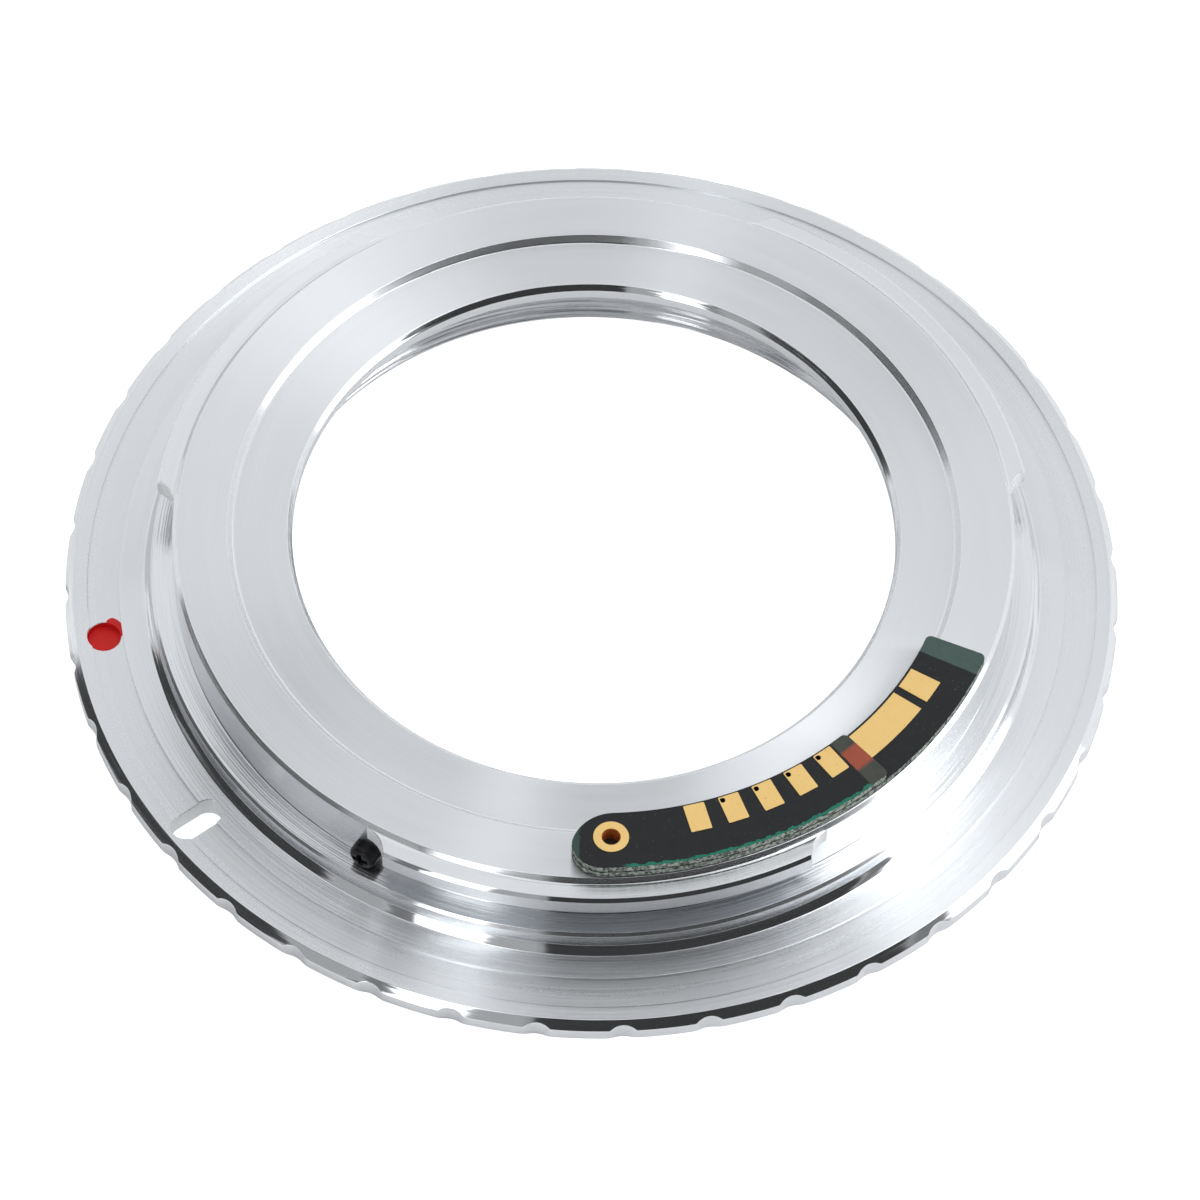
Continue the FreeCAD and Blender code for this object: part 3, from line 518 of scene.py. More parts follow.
def threadWall(g):
    # rows follow the helix, one pitch up for one turn; the entry bevel and the run-out cone cut its
    # crests away, and rows past its ends fall together there
    share = np.array([0.0, 0.125, 0.25, 0.40625, 0.5625, 0.625, 0.6875, 0.84375])
    depth = np.interp(share, [0, 0.25, 0.5625, 0.6875, 1.0], [0, 0, 1, 1, 0])
    turns = int(g.reliefLow / g.pitch) + 2
    rise = (np.arange(turns)[:, None] - 1 + share).ravel() * g.pitch
    radius = np.tile(g.crest + (g.root - g.crest) * depth, turns)[:, None]
    height = np.clip(rise[:, None] + angles / 360.0 * g.pitch, 0.0, g.reliefLow)
    bevel = g.crest + g.entry - height
    cone = g.relief - (g.reliefLow - height)
    return [patch(polarGrid(np.maximum(radius, np.maximum(bevel, cone)), angles, height), 0.9)]


def lipAndTop(g):
    # one turned profile: run-out groove, lip, inner face, step, land and the top's outer bevel
    e = g.edge
    corners = [
        (g.relief, g.reliefLow), (g.relief, g.lipUnder), (g.lip, g.lipUnder),
        (g.lip, g.innerTop - g.lipBevel), (g.lip + g.lipBevel, g.innerTop), (g.stepIn, g.innerTop),
        (g.landIn, g.top), (g.neck - g.topBevel, g.top), (g.neck, g.lugTop),
    ]
    finish = [0.3, 0.3, 0.6, 1.0, 0.15, 0.3, 0.2, 0.6]
    profile, tone = roundOff(corners, [0.1, e, e, e, 0.08, e, e], 2, finish, 0.9)
    return [patch(spin(profile, angles), tone)]


def neckBetween(g):
    # the neck's wall where there is no lug
    middle = (angles[:-1] + angles[1:]) / 2
    inLug = sum((middle > start) & (middle < end) for start, end in g.lugs) > 0
    profile = np.array([(g.neck, g.lugTop), (g.neck, g.lugUnder)])
    return [patch(spin(profile, angles), 0.6, ~inLug)]


def lugWalls(g):
    # the rows are radii; each end follows the cutter's circle, and its shift fades out over lugSpread
    # degrees. On the top a shallow sine is the fillet at the neck, and a 45 degree fall is the bevel.
    filletEnd = g.neck + g.lugFillet + 0.01
    bevelAt = g.lugOut - g.lugBevel
    radii = np.array(g.lugRows)
    middleAt = g.neck + g.lugCutter
    cosine = (radii ** 2 + middleAt ** 2 - g.lugCutter ** 2) / (2 * middleAt * radii)
    inward = np.degrees(np.arccos(np.clip(cosine, -1, 1)))
    under = g.lugUnder + np.where(radii == g.lugOut, g.lugEase, 0.0)
    over = g.lugTop - np.where(radii < bevelAt - 0.01, 0.0, radii - bevelAt + 0.006)
    fillet = np.clip(np.sin(np.pi * (radii - g.neck) / g.lugFillet), 0, 1) * (radii < filletEnd)
    over -= g.lugFilletDepth * fillet
    tone = np.where(radii[1:] < filletEnd, 0.9, np.where(radii[1:] > bevelAt + 0.01, 1.0, 0.45))
    patches = []
    for start, end in g.lugs:
        mine = np.unique(angles[(angles > start - 1e-6) & (angles < end + 1e-6)])
        nearStart = np.clip(1 - (mine - start) / g.lugSpread, 0, 1)
        nearEnd = np.clip(1 - (end - mine) / g.lugSpread, 0, 1)
        turned = mine + inward[:, None] * (nearStart - nearEnd)
        lowered = np.zeros((len(radii), len(mine)))
        lowered[1:, [0, -1]] = g.lugEndDrop
        upper = polarGrid(radii[:, None], turned, over[:, None] - lowered)
        lower = polarGrid(radii[:, None], turned, under[:, None])
        patches += [patch(upper, tone), patch(lower, 0.2), patch(np.stack([upper[-1], lower[-1]]), 0.5)]
        patches += [patch(np.stack([upper[:, at], lower[:, at]]), 0.7, kind=1) for at in (0, -1)]
    return patches


def makeRing(settings):
    # one closed surface: every part of it has the same columns, and each starts where the last ended
    g = SimpleNamespace(**settings)
    flange, slotRadii = flangeFace(g)
    patches = neckFoot(g) + pilotWall(g) + flange + rimWall(g) + underside(g, slotRadii)
    patches += threadWall(g) + lipAndTop(g) + neckBetween(g) + lugWalls(g)
    return sewMesh("adapterRing", patches)


def turnedMetal(name, colour, roughness):
    # bright turned metal: lines round the axis, a lustre drawn out across them, polished bevels.
    # across grows outward and upward and u and v go round, so noise that is fast in across and slow in
    # u and v makes rings; streaks are the tool's feed marks.
    material, shader, place = newMaterial(name, colour, 1.0, Anisotropic=1.0, Anisotropic_Rotation=0.25)
    x, y, z = apart(place)
    tone = attribute(place.tree, "tone")
    across = distance(x, y) + z * 0.8
    outward = vectorCalc("NORMALIZE", join(x, y, 0.0))
    u, v = apart(scaled(outward, 1.6))[:2]
    lines = noise(join(across * 7.0, u, v), 1.0, 4.0, 0.7)
    streaks = noise(join(u * 1.2, v * 1.2, across * 14.0), 1.0, 2.0, 0.6)
    bands = noise(join(across * 1.1, u, v), 1.0, 2.0, 0.5)
    grain = noise(place, 14.0, 3.0, 0.6)
    satin = lines * 0.08 + bands * 0.10 + grain * 0.05 + (roughness - 0.115)
    polished = lines * 0.06 + 0.055
    shade = lines * 0.05 + grain * 0.11
    # the tool leaves the grooves leaning, inward on the flange and outward above it, most on the satin
    # faces, and each streak its own way
    ridged = bump(lines, tone * 0.25 + 0.12, 0.00002)
    lean = between(streaks, 0.36, 0.64, -0.5, 0.5) * (tone * 0.30 + 0.01)
    lean = lean + (1.0 - tone) * between(z, 1.6, 1.8, -0.12, 0.06)
    normal = vectorCalc("NORMALIZE", vectorCalc("ADD", ridged, scaled(outward, lean)))
    metal = blend(shade * 6.0, times(colour, 0.90), times(colour, 1.05))
    coat(shader, metal, satin + (polished - satin) * tone, normal)
    wire(vectorCalc("CROSS_PRODUCT", (0.0, 0.0, 1.0), place), shader.inputs["Tangent"])
    return material


def milledMetalPaintedBright(name, colour, roughness):
    # what an end mill left: the same metal, matt and without the turned lines; it is also paler and less
    # metallic than the turned metal, painted light that makes the milled walls of the slot, the holes and
    # the lugs' ends show bright
    material, shader, place = newMaterial(name, colour, 0.3)
    grain = noise(place, 9.0, 4.0, 0.7)
    gloss = between(grain, 0.25, 0.75, roughness - 0.1, roughness + 0.1)
    coat(shader, blend(grain, times(colour, 0.9), colour), gloss, bump(grain, 0.5, 0.00003))
    return material


ringMetal = turnedMetal("turnedMetal", (0.835, 0.85, 0.87), 0.37)
# the milled walls get a paler, less metallic copy of the ring's metal: painted light
cutMetalPaintedBright = milledMetalPaintedBright("milledMetalPaintedBright", (0.94, 0.95, 0.96), 0.55)
adapterRing = finishPiece(makeRing(ring), "adapter_ring", [ringMetal, cutMetalPaintedBright])
print("ring made:", len(adapterRing.data.polygons), "faces")


# The red index dot and the stop screw

dot = dict(
    middle=30.31, angle=90.5, radius=1.035, low=0.712, top=0.86, rim=1.30,
    smearFrom=-128.0, smearTo=-12.0, smearAside=0.48, smearAngle=-30.0, smearRadius=1.0,
    smear=0.03, smearLow=0.02, smearTaper=14.0,
)


def makeDot(settings):
    # paint in the recess: it lies on the floor and climbs the wall to just under the rim, and a smear
    # that ran out lies on the far side, between the recess and a circle set aside from it
    c = SimpleNamespace(**settings)
    turn = np.linspace(0, 360, 97)
    wave = np.sin(np.radians(turn) * 3 + 0.6) * np.sin(np.radians(turn) * 2)
    share = np.array([0, 0.35, 0.7, 0.86, 0.93, 0.965, 0.985, 0.99, 1.0])[:, None]
    climb = np.array([0, 0, 0, 0.01, 0.05, 0.16, 0.5, 1.0, 1.0])[:, None]
    top = c.top + climb * (c.rim - c.top - 0.03 * (1 + wave))
    over = polarGrid(c.radius * share, turn, top)
    wall = np.stack([over[-1], over[-1] * (1, 1, 0) + (0, 0, c.low)])
    under = polarGrid(c.radius * share[::-1], turn, c.low)
    # the smear's reach is where the ray from the dot's middle leaves the circle set aside
    angle = np.linspace(c.smearFrom, c.smearTo, 41)
    aside = polarGrid(c.smearAside, c.smearAngle, 0.0)
    along = polarGrid(1.0, angle, 0.0) @ aside
    reach = along + np.sqrt(np.maximum(along ** 2 - aside @ aside + c.smearRadius ** 2, 0))
    taper = np.clip(np.minimum(angle - angle[0], angle[-1] - angle) / c.smearTaper, 0, 1) ** 0.5
    reach = c.radius + np.maximum(reach - c.radius, 0) * taper
    across = np.array([0, 0.15, 0.5, 0.85, 0.97, 1.0])[:, None]
    rise = np.array([0.6, 0.9, 1.0, 0.8, 0.4, 0.0])[:, None] * c.smear * taper
    radius = c.radius - 0.03 + (reach - c.radius + 0.03) * across
    upper = polarGrid(radius, angle, c.rim + 0.003 + rise)
    lower = polarGrid(radius[::-1], angle, c.rim - c.smearLow)
    ends = [np.stack([upper[0], lower[-1]]), np.stack([upper[-1], lower[0]])]
    borders = [np.stack([upper[:, column], lower[::-1, column]]) for column in (0, -1)]
    middle = polarGrid(c.middle, c.angle, 0.0)
    grids = [over, wall, under, upper, lower] + ends + borders
    return sewMesh("indexDot", [patch(grid + middle) for grid in grids])


def redEnamel():
    # red paint with faint clouds in its colour and gloss
    material, shader, place = newMaterial("redEnamel", (0.60, 0.012, 0.012), Specular_IOR_Level=0.25)
    cloud = noise(place, 1.6, 4.0, 0.6)
    red = blend(cloud, (0.68, 0.010, 0.011), (0.84, 0.020, 0.017))
    coat(shader, red, between(cloud, 0.3, 0.7, 0.34, 0.5), bump(noise(place, 3.0, 3.0), 0.4, 0.00003))
    return material


finishPiece(makeDot(dot), "index_dot", [redEnamel()])

screw = dict(
    angle=139.4, level=3.95, seat=25.7, head=0.85, height=0.90, flat=0.50,
    rimHeight=0.52, shank=0.49, length=2.6, cross=0.52, arm=0.16, depth=0.40,
    pitch=0.25, cut=0.045, turned=8.0, slopeAcross=0.05, slopeAlong=0.09,
)


def makeScrew(settings):
    # a turned profile round the radius through the hole; the front's depth is the cross recess
    s = SimpleNamespace(**settings)
    turn = np.linspace(0, 360, 97)
    corners = [(s.head, s.seat + s.rimHeight), (s.head, s.seat), (s.shank, s.seat), (s.shank, s.seat - 0.12)]
    side, tone = roundOff(corners, [0.03, 0.03], 2, [0.1, 0.1, 0.1], 0.3)
    # the shank's ridges and roots take turns along it
    turns = np.arange(0, int((s.length - 0.3) / s.pitch))[:, None]
    along = (s.seat - 0.2 - s.pitch * (turns + np.array([0.0, 0.3, 0.5, 0.8]))).ravel()
    ridge = s.shank - s.cut * np.tile([0.0, 0.0, 1.0, 1.0], len(turns))
    thread = np.stack([ridge, along], -1)
    tail = np.array([(s.shank - s.cut, s.seat - s.length), (0.0, s.seat - s.length)])
    profile = np.concatenate([side, thread, tail])
    # front: an arm's recess has sloping walls; two arms cross at right angles
    bend = np.radians(np.linspace(0, 90, 22))[1:]
    flat = np.linspace(0, s.flat, 12)
    frontRadius = np.concatenate([flat, s.flat + (s.head - s.flat) * np.sin(bend)])[:, None]
    bulge = np.concatenate([np.ones(12), np.cos(bend)])[:, None]
    front = polarGrid(frontRadius, turn, s.seat + s.rimHeight + (s.height - s.rimHeight) * bulge)
    u, v = front[..., 0], front[..., 1]
    recess = 0.0
    for along, across in ((u, v), (v, u)):
        inArm = np.clip((s.arm - np.abs(across)) / s.slopeAcross, 0, 1)
        inArm = inArm * np.clip((s.cross - np.abs(along)) / s.slopeAlong, 0, 1)
        recess = np.maximum(recess, s.depth * inArm)
    front[..., 2] -= recess * np.clip(1.25 - frontRadius / s.cross * 0.5, 0, 1)
    tone = np.append(tone, np.full(len(thread) + 2, 0.1))
    patches = (front, 0.5), (spin(profile, turn), tone)
    # the screw's own x and y lie across the hole, turned a little, and its z points outward
    outward, tangent = polarGrid(1.0, s.angle, 0.0), polarGrid(1.0, s.angle + 90.0, 0.0)
    upward = np.array((0, 0, 1.0))
    spun = np.radians(s.turned)
    first = np.cos(spun) * tangent + np.sin(spun) * upward
    second = -np.sin(spun) * tangent + np.cos(spun) * upward
    own = np.stack([first, second, outward])
    return sewMesh("stopScrew", [patch(grid @ own + upward * s.level, strip) for grid, strip in patches])


def blackOxide():
    # blackened steel, worn to a paler metal in spots of the front, where tone is high
    material, shader, place = newMaterial("blackOxide", (0.018, 0.018, 0.020), 0.6)
    tone = attribute(place.tree, "tone")
    cloud = noise(place, 5.0, 4.0, 0.65)
    worn = between(tone, 0.45, 0.9) * between(cloud, 0.42, 0.62)
    black = blend(worn, (0.014, 0.014, 0.016), (0.16, 0.16, 0.17))
    coat(shader, black, between(cloud, 0.3, 0.7, 0.26, 0.48), bump(noise(place, 9.0, 3.0), 0.5, 0.00003))
    return material


finishPiece(makeScrew(screw), "stop_screw", [blackOxide()])
print("dot and screw made")


# The contact chip: two boards, their films, gold contacts and the eyelet

chip = dict(
    angle=167.4, inner=21.7, outer=25.4, tipRadius=23.7, tipAngle=4.11,
    outerRound=1.70, innerRound=2.598, corner=0.35, edge=0.03, rough=0.022,
    topSpan=46.1, baseSpan=70.5, baseLow=6.70, baseTop=7.20, topLow=7.24, topTop=7.74,
    eyeletRadius=23.33, eyeletAngle=5.5, eyeletHole=0.62, eyeletBore=0.54, eyeletOut=1.05,
    padFrom=21.76, padLength=1.86, padWidth=1.28, padCorner=0.08, padThickness=0.035,
    padEdge=0.014, padAngle=18.55, padPitch=5.62, viaAt=22.0, viaOff=0.43, via=0.17,
    arcPadIn=21.81, arcPadOut=23.78, longPad=(43.2, 58.0), shortPad=(59.4, 63.4),
    wellRadius=23.55, wellAngle=28.0, wellHalf=1.15, wellReach=1.75, wellLow=6.80,
    borderAt=25.33, fringeFrom=6.5, patchFrom=22.45, patchTo=24.1,
    baseFringe=-0.20, topFringe=0.02, baseBareFrom=67.1, topBareFrom=43.1,
)
board = SimpleNamespace(**chip)


def arcCrossings(angle, middleRadius, middleAngle, radius):
    # where the ray at each angle from the tip meets a circle: nearer and farther distance from Z
    away = np.radians(angle - middleAngle)
    root = np.sqrt(np.maximum(radius ** 2 - (middleRadius * np.sin(away)) ** 2, 0))
    return middleRadius * np.cos(away) - root, middleRadius * np.cos(away) + root


def tipMeeting(c):
    # the angle of the inner round's middle that lets both rounds meet on the ray at angle 0
    target = arcCrossings(0.0, c.tipRadius, c.tipAngle, c.outerRound)[1]
    m, r = c.inner + c.innerRound, c.innerRound
    return math.degrees(math.acos((m ** 2 + target ** 2 - r ** 2) / (2 * m * target)))


def boardEdges(c, span, angle):
    # inner and outer edge at each angle from the tip: tip arcs first, then the board's own
    # circles, and a corner's arc at the square end
    innerAngle = tipMeeting(c)
    near = arcCrossings(angle, c.inner + c.innerRound, innerAngle, c.innerRound)[0]
    inner = np.where(angle < innerAngle, near, c.inner)
    far = arcCrossings(angle, c.tipRadius, c.tipAngle, c.outerRound)[1]
    outer = np.where(angle < c.tipAngle, far, c.outer)
    left = np.clip(c.corner - np.radians(span - angle) * c.outer, 0, c.corner)
    cut = c.corner - np.sqrt(np.maximum(c.corner ** 2 - left ** 2, 0))
    return inner + cut, outer - cut


def boardGrid(c, span, cuts):
    # the radius of each point and the angle of each column: columns run from the tip to the square
    # end, closer near both, and rows across, closer at the edges and at the cuts
    tipReach, endReach, apiece = 9.0, 1.6, 0.55
    tipPart = tipReach * (1 - np.cos(np.linspace(0, np.pi / 2, 25)))
    endPart = span - endReach * (1 - np.sin(np.linspace(0, np.pi / 2, 11)))
    middlePart = np.linspace(tipReach, span - endReach, int(span / apiece))[1:-1]
    base = np.concatenate([tipPart, middlePart, endPart])
    middles = np.array([cut["angle"] - c.angle for cut in cuts])
    base = base[np.abs(base[:, None] - middles).min(axis=1) > 0.03]
    angle = np.sort(np.concatenate([base, middles, middles]))
    inner, outer = boardEdges(c, span, angle)
    shares = [np.array([0, 0.02, 0.05, 0.1, 0.2, 0.35, 0.5, 0.65, 0.8, 0.9, 0.95, 0.98, 1.0])]
    for cut, at in zip(cuts, middles):
        low, high = boardEdges(c, span, np.array([at]))
        shares.append((cut["table"][0][:: cut["thin"]] - low[0]) / (high[0] - low[0]))
    share = thin(np.concatenate(shares), 0.0015)[:, None]
    return inner + (outer - inner) * share, angle + c.angle


def boardWall(c, outline, low, top, random):
    # the outline carried down from the top face to the lower one: the rows beside the faces are drawn
    # in as small arcs, and each point between them is drawn in by a random wear
    along = np.roll(outline, -1, axis=0) - np.roll(outline, 1, axis=0)
    along[0] = along[-1] = (outline[1] - outline[-2])
    normal = np.stack([along[:, 1], -along[:, 0]], -1)
    normal /= np.maximum(np.linalg.norm(normal, axis=1, keepdims=True), 1e-9)
    e = c.edge
    ease = e * np.array([0, 0.3, 1])
    heights = np.concatenate([top - ease, np.linspace(top - e, low + e, 7)[1:-1], low + ease[::-1]])
    inset = np.concatenate([ease[::-1], np.zeros(5), ease])
    wear = np.zeros((len(heights), len(outline)))
    wear[2:-2] = np.abs(random.normal(size=(len(heights) - 4, len(outline)))) * c.rough
    wear[:, 0] = wear[:, -1]
    loop = outline[None] - normal[None] * (inset[:, None] + wear)[..., None]
    loop[:, -1] = loop[:, 0]
    twice = np.flatnonzero(np.all(np.isclose(outline[1:], outline[:-1]), axis=1)) + 1
    loop[:, twice] = loop[:, twice - 1]
    return np.concatenate([loop, np.broadcast_to(heights[:, None, None], loop.shape[:2] + (1,))], axis=-1)


def makeBoard(name, c, span, low, top, cuts):
    # two flat grids and the wall between their outlines; the cuts open in them like slits, and a blind
    # one leaves the lower grid whole. The length of the name is the seed of the wear.
    random = np.random.default_rng(len(name))
    radius, angle = boardGrid(c, span, cuts)
    through = [cut for cut in cuts if cut["low"] <= low]
    turned = openSlits(angle, radius, cuts)
    upper = polarGrid(radius, turned, top)
    lower = polarGrid(radius, turned, low)
    outline = np.concatenate([upper[0], upper[1:, -1], upper[-1, -2::-1]])[:, :2]
    wall = boardWall(c, outline, low, top, random)
    rows, columns = upper.shape[:2]
    for grid, border in ((upper, wall[0]), (lower, wall[-1])):
        grid[0] = border[:columns]
        grid[:, -1] = border[columns - 1:columns + rows - 1]
        grid[-1] = border[columns + rows - 2:][::-1]
    if len(through) < len(cuts):
        lower[1:-1, :-1] = polarGrid(radius, openSlits(angle, radius, through), low)[1:-1, :-1]
    beside = np.diff(angle) > 1e-6
    patches = [patch(wall, 1.0), patch(upper, 0.0, beside), patch(lower, 0.0, beside)]
    for cut in cuts:
        radii = radius[:, np.argmin(np.abs(angle - cut["angle"]))]
        radii = radii[cutRows(cut, radii)]
        patches += cutWalls(cut, radii, top, cut["tone"], None if cut["low"] <= low else 1.0)
    return sewMesh(name, patches)


def roundCut(radius, angle, half, low, rowStep, tone):
    # a round hole in a board, whose grids get a row at each rowStep-th line of its table
    return {"angle": angle, "table": roundTable(radius, half), "low": low, "thin": rowStep, "tone": tone}


def boardCuts(c):
    # the eyelet's hole in each board, one via in each pad but the first, and the well for the inner
    # pieces, whose plan is |x / half|^8 + |y / reach|^8 = 1
    hole = c.eyeletRadius, c.angle + c.eyeletAngle, c.eyeletHole
    eyelets = [roundCut(*hole, low, 15, 1.0) for low in (c.baseLow, c.topLow)]
    viaRadius = math.hypot(c.viaAt, c.viaOff)
    viaAngle = c.padAngle - math.degrees(math.atan2(c.viaOff, c.viaAt)) + c.angle
    vias = [roundCut(viaRadius, viaAngle + k * c.padPitch, c.via, c.topLow, 30, 2.0) for k in range(1, 5)]
    t = np.cos(halfTurn)
    x = c.wellRadius - c.wellHalf * t
    half = c.wellReach * (1 - np.abs(t) ** 8) ** 0.125
    well = {"angle": c.wellAngle + c.angle, "table": (x, np.degrees(half / x)), "low": c.wellLow}
    well.update({"thin": 15, "tone": 1.0, "reach": 9.0})
    return eyelets, vias, well


def boardMaterial(name, c, low, top, fringe, bareFrom, bareTones, patchTones):
    # black mask on the flat sides, with a ragged green border outside and the bare board past its
    # end; where the board is cut it shows pale broken glass between darker layers
    material, shader, place = newMaterial(name, (0.014, 0.015, 0.017), Specular_IOR_Level=0.28)
    x, y, z = apart(place)
    radius = distance(x, y)
    tone = attribute(place.tree, "tone")
    # angle from the chip's tip, in degrees
    cosine, sine = math.cos(math.radians(c.angle)), math.sin(math.radians(c.angle))
    angle = calc("ARCTAN2", y * cosine - x * sine, x * cosine + y * sine) * (180.0 / math.pi)
    cloud = noise(place, 1.3, 4.0, 0.6)
    grain = noise(place, 22.0, 2.0, 0.5)
    specks = noise(place, 7.0, 1.0, 0.4)
    ragged = noise(place, 1.7, 5.0, 0.75)
    mask = blend(cloud, (0.0085, 0.0095, 0.0110), (0.0165, 0.0180, 0.0200))
    mask = blend(between(specks, 0.72, 0.74), mask, (0.045, 0.048, 0.050))
    border = (c.borderAt - fringe) - between(ragged, 0.38, 0.64) * 0.15
    green = blend(grain, (0.004, 0.12, 0.072), (0.016, 0.27, 0.17))
    onBorder = between(radius, border, border + 0.04) * between(angle, c.fringeFrom, c.fringeFrom + 1.5)
    mask = blend(onBorder, mask, green)
    mask = blend(between(angle + ragged, 1.7, 1.3) * 0.8, mask, (0.040, 0.090, 0.070))
    # the bare end, with a second tone where the mask's patch was
    bare = blend(cloud, *bareTones)
    inPatch = between(radius, c.patchFrom, c.patchFrom + 0.3)
    inPatch = inPatch * between(radius, c.patchTo + 0.2, c.patchTo - 0.2)
    bare = blend(inPatch, bare, blend(cloud, *patchTones))
    bare = blend(between(grain, 0.55, 0.8, 0.0, 0.35), bare, (0.12, 0.13, 0.12))
    mask = blend(between(angle + ragged * 0.25, bareFrom, bareFrom + 0.25), mask, bare)
    # the cut sides, and the reddish walls of the vias
    fibres = noise(place, 4.2, 5.0, 0.78)
    cutFace = blend(between(fibres, 0.40, 0.62), (0.040, 0.052, 0.044), (0.56, 0.60, 0.54))
    middle = calc("ABSOLUTE", z - (low + top) / 2)
    layers = between(middle + ragged * 0.06, 0.22, 0.27)
    cutFace = blend(layers * 0.85, cutFace, (0.020, 0.042, 0.034))
    cutFace = blend(between(tone, 1.2, 1.8), cutFace, (0.055, 0.012, 0.006))
    rough = between(cloud, 0.3, 0.7, 0.30, 0.44) + between(tone, 0.0, 1.0, 0.0, 0.35)
    coat(shader, blend(tone, mask, cutFace), rough, bump(grain * 0.35 + fibres * tone, 0.6, 0.00004))
    return material


eyeletCuts, viaCuts, wellCut = boardCuts(board)
greenGlass = ((0.052, 0.092, 0.082), (0.085, 0.135, 0.120))
greyGlass = ((0.040, 0.046, 0.038), (0.085, 0.090, 0.072))
redGlass = ((0.36, 0.070, 0.036), (0.44, 0.100, 0.052))
baseLook = board.baseFringe, board.baseBareFrom, greenGlass, greenGlass
topLook = board.topFringe, board.topBareFrom, greyGlass, redGlass
levels = board.baseLow, board.baseTop
baseBoard = makeBoard("chipBaseBoard", board, board.baseSpan, *levels, [eyeletCuts[0], wellCut])
finishPiece(baseBoard, "chip_base_board", [boardMaterial("baseBoard", board, *levels, *baseLook)])
levels = board.topLow, board.topTop
topBoard = makeBoard("chipTopBoard", board, board.topSpan, *levels, [eyeletCuts[1]] + viaCuts)
finishPiece(topBoard, "chip_top_board", [boardMaterial("topBoard", board, *levels, *topLook)])
print("boards made")


def makePlate(name, c, outline, hole, low, degrees):
    # a flat plate between an outline and a hole, or a middle point, with its upper edges rounded: each
    # row is the outline moved inward toward the hole, at a level; all of it is then turned about Z
    high, edge = low + c.padThickness, c.padEdge
    toward = hole - outline
    length = np.linalg.norm(toward, axis=1)
    pierced = np.ptp(hole, axis=0).max() > 1e-6
    steps = [(0.0, low), (0.0, high - edge), (0.3 * edge, high - 0.3 * edge), (edge, high)]
    back = [(length - inward, level) for inward, level in steps[::-1]]
    steps += [(length * 0.5, high)] + (back + steps[:1] if pierced else [(length, high)])
    rows = []
    for inward, level in steps:
        flat = outline + toward * (inward / length)[:, None]
        rows.append(np.concatenate([flat, np.full((len(flat), 1), level)], axis=1))
    grids = [np.stack(rows)]
    if not pierced:
        grids.append(np.stack([rows[0], rows[-1] * (1, 1, 0) + (0, 0, low)]))
    a = np.radians(degrees)
    turn = np.array([[np.cos(a), np.sin(a), 0], [-np.sin(a), np.cos(a), 0], [0, 0, 1]])
    return sewMesh(name, [patch(grid @ turn) for grid in grids])


def roundedOutline(corners, radius, steps, subdivide):
    # a closed outline through corner arcs, with points along its straights
    corners = np.asarray(corners, float)
    after = np.roll(corners, -1, axis=0)
    way = (after - corners) / np.linalg.norm(after - corners, axis=1, keepdims=True)
    end = corners + way * radius
    arcs = arc(corners - np.roll(way, 1, axis=0) * radius, corners, end, steps)
    share = np.linspace(0, 1, subdivide + 1)[None, 1:-1, None]
    straights = end[:, None] + (after - way * radius - end)[:, None] * share
    loop = np.concatenate([arcs, straights], axis=1).reshape(-1, 2)
    return np.concatenate([loop, loop[:1]])


def makePad(number, c):
    # the pad's own frame: x along the radius through its middle, y along the board
    near, far, half = c.padFrom, c.padFrom + c.padLength, c.padWidth / 2
    outline = roundedOutline([(near, -half), (far, -half), (far, half), (near, half)], c.padCorner, 4, 5)
    if number > 1:
        way = outline - (c.viaAt, -c.viaOff)
        hole = (c.viaAt, -c.viaOff) + way / np.linalg.norm(way, axis=1, keepdims=True) * c.via
    else:
        hole = np.zeros_like(outline) + ((near + far) / 2, 0)
    degrees = c.angle + c.padAngle + (number - 1) * c.padPitch
    return makePlate(f"contactPad{number}", c, outline, hole, c.topTop, degrees)


def makeArcPad(name, c, start, end):
    # a pad between two circles and two radii
    turn = np.linspace(start, end, 31)
    loop = np.concatenate([polarGrid(c.arcPadIn, turn, 0.0), polarGrid(c.arcPadOut, turn[::-1], 0.0)])[:, :2]
    loop = np.concatenate([loop, loop[:1]])
    middle = polarGrid((c.arcPadIn + c.arcPadOut) / 2, (start + end) / 2, 0.0)[:2]
    return makePlate(name, c, loop, np.zeros_like(loop) + middle, c.baseTop, c.angle)


def makeEyelet(c):
    # a barrel with a flat ring on the board, turned about its own middle
    top, bore, hole, out = c.topTop + c.padThickness, c.eyeletBore, c.eyeletHole, c.eyeletOut
    corners = [
        (bore, top - 0.2), (bore, top), (out, top), (out, c.topTop), (hole, c.topTop), (hole, c.baseLow),
        (bore, c.baseLow), (bore, top - 0.2),
    ]
    profile, tone = roundOff(corners, [0.06, 0.014, 0.004, 0.004, 0.02, 0.02], 3, [1, 0, 0, 0, 1, 1, 1], 0.0)
    tone[:3] = 0.6
    middle = polarGrid(c.eyeletRadius, c.angle + c.eyeletAngle, 0.0)
    grid = spin(profile, np.linspace(0, 360, 97)) + middle
    return sewMesh("platedEyelet", [patch(grid, tone, kind=(tone > 0.5).astype(int))])


def goldPlate():
    # soft gold over etched copper: slightly uneven, with faint handling marks
    material, shader, place = newMaterial("goldPlate", (0.93, 0.64, 0.25), 1.0)
    grain = noise(place, 26.0, 3.0, 0.6)
    gold = blend(noise(place, 1.1, 3.0, 0.55), (0.90, 0.60, 0.22), (0.96, 0.68, 0.28))
    stain = between(noise(place, 5.0, 2.0, 0.4), 0.73, 0.76)
    gold = blend(stain * 0.7, gold, (0.20, 0.10, 0.04))
    coat(shader, gold, between(grain, 0.25, 0.75, 0.24, 0.44), bump(grain, 0.35, 0.00002))
    return material


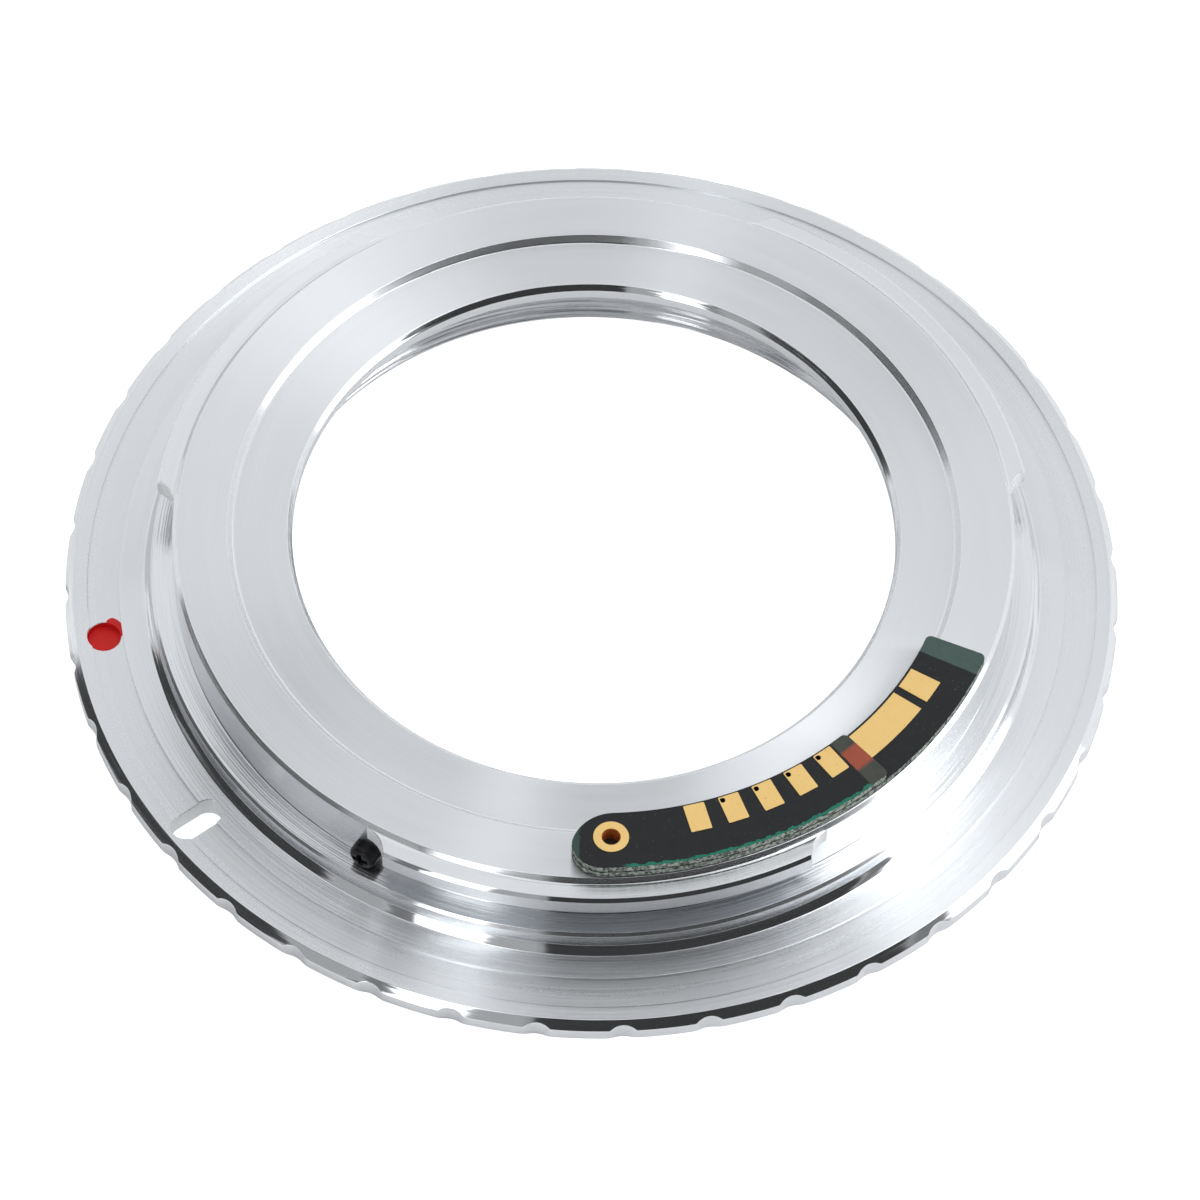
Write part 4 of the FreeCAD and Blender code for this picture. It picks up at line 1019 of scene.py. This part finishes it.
def plainMaterial(name, dark, light, scale, roughness):
    # one cloudy colour between a dark and a light one, with an uneven gloss
    material, shader, place = newMaterial(name, light)
    cloud = noise(place, scale, 4.0, 0.6)
    gloss = between(cloud, 0.3, 0.7, roughness - 0.08, roughness + 0.08)
    coat(shader, blend(cloud, dark, light), gloss, bump(cloud, 0.3, 0.00002))
    return material


gold = goldPlate()
barrelBrown = plainMaterial("barrelBrown", (0.26, 0.060, 0.010), (0.80, 0.28, 0.06), 5.0, 0.35)
for number in range(1, 6):
    finishPiece(makePad(number, board), f"contact_pad_{number}", [gold])
finishPiece(makeArcPad("longContactPad", board, *board.longPad), "long_contact_pad", [gold])
finishPiece(makeArcPad("shortContactPad", board, *board.shortPad), "short_contact_pad", [gold])
finishPiece(makeEyelet(board), "plated_eyelet", [gold, barrelBrown])
print("contacts made")

# the films and the two sealed components keep the part's own meshes
# the adhesive's near-black colour is partly its own and partly painted shade: it paints the dark shade line
# at the films' edges under the boards
adhesive = plainMaterial("adhesive", (0.020, 0.018, 0.014), (0.060, 0.052, 0.040), 3.0, 0.45)
mouldedBlack = plainMaterial("mouldedBlack", (0.012, 0.012, 0.013), (0.030, 0.030, 0.032), 8.0, 0.5)
ceramic = plainMaterial("ceramic", (0.26, 0.17, 0.10), (0.42, 0.30, 0.19), 8.0, 0.4)
keptNodes = {
    "adhesive_film": adhesive, "bond_film": adhesive, "microcontroller": mouldedBlack, "capacitor": ceramic,
}
for name, material in keptNodes.items():
    nodes[name].data.materials.clear()
    nodes[name].data.materials.append(material)
print("chip made")


# Floor and studio light

studio = dict(
    # the floor's reach and level are in metres
    floor=(0.92, 0.92, 0.92), reach=1.6, floorLow=-0.00002, glow=0.12, seenGlow=0.95,
    level=1.0, zenith=0.84, front=168.8,
    # soft boxes and dark flags round the object: azimuth from the camera's, half width, lowest and
    # highest elevation, level, softness of the sides
    panels=(
        (-208, 27, 30, 84, 0.86, 8), (-132, 24, 8, 66, 0.80, 5), (-82, 28, -4, 44, 0.05, 2),
        (-103, 9, 44, 68, 0.22, 5), (-61, 8, 44, 68, 0.16, 4), (-47, 7, -4, 75, 0.42, 1.5),
        (-36.5, 3.5, -4, 75, 0.20, 1), (-26.3, 7.3, -2, 75, 2.20, 0.7), (-13.5, 5.5, -4, 75, 0.42, 0.7),
        (26, 34, -6, 77, 0.045, 1.5), (64, 4, -4, 77, 0.20, 1.5), (85, 17, 5, 78, 3.10, 1.5),
    ),
)


def makeFloor(settings):
    # a lit table: it shows plain white and is a little dimmer where the metal mirrors it
    reach, low = settings["reach"], settings["floorLow"]
    mesh = bpy.data.meshes.new("studioFloor")
    corners = [(-reach, -reach, low), (reach, -reach, low), (reach, reach, low), (-reach, reach, low)]
    mesh.from_pydata(corners, [], [(0, 1, 2, 3)])
    floor = bpy.data.objects.new("studioFloor", mesh)
    scene.collection.objects.link(floor)
    material, shader, place = newMaterial("paleFloor", settings["floor"], roughness=0.6)
    coat(shader, blend(noise(place, 0.02, 3.0), times(settings["floor"], 0.985), settings["floor"]))
    shader.inputs["Emission Color"].default_value = (1.0, 1.0, 1.0, 1.0)
    seen = addNode(place.tree, "LightPath")[0]
    wire(between(seen, 0.0, 1.0, settings["glow"], settings["seenGlow"]), shader.inputs["Emission Strength"])
    mesh.materials.append(material)


def makeSky(settings):
    # an even sky; each panel replaces its level inside its own azimuths and elevations
    world = bpy.data.worlds.new("studio")
    world.use_nodes = True
    scene.world = world
    tree = world.node_tree
    degrees = 180.0 / math.pi
    x, y, z = apart(addNode(tree, "TexCoord")[0])
    flat = calc("MAXIMUM", distance(x, y), 0.001)
    elevation = calc("ARCTAN2", z, flat) * degrees
    light = between(elevation, 40.0, 85.0, settings["level"], settings["zenith"])
    for azimuth, half, low, high, level, soft in settings["panels"]:
        a = math.radians(settings["front"] + azimuth)
        away = calc("ARCCOSINE", calc("DIVIDE", x * math.cos(a) + y * math.sin(a), flat)) * degrees
        inside = between(away, half + soft, half - soft) * between(elevation, low - 2.0, low + 2.0)
        inside = inside * between(elevation, high + 3.0, high - 3.0)
        light = inside * (level - light) + light
    background = tree.nodes["Background"]
    wire(light, background.inputs["Strength"])
    background.inputs["Color"].default_value = (0.97, 0.985, 1.0, 1.0)
    # the camera itself sees plain white
    plain = addNode(tree, "Background", [(1.0, 1.0, 1.0, 1.0)])[0]
    seen = addNode(tree, "LightPath")[0]
    pick = addNode(tree, "MixShader", [seen, Value(background.outputs[0]), plain])[0]
    wire(pick, tree.nodes["World Output"].inputs["Surface"])


makeFloor(studio)
makeSky(studio)
scene.view_settings.view_transform = "Standard"
print("studio lit")
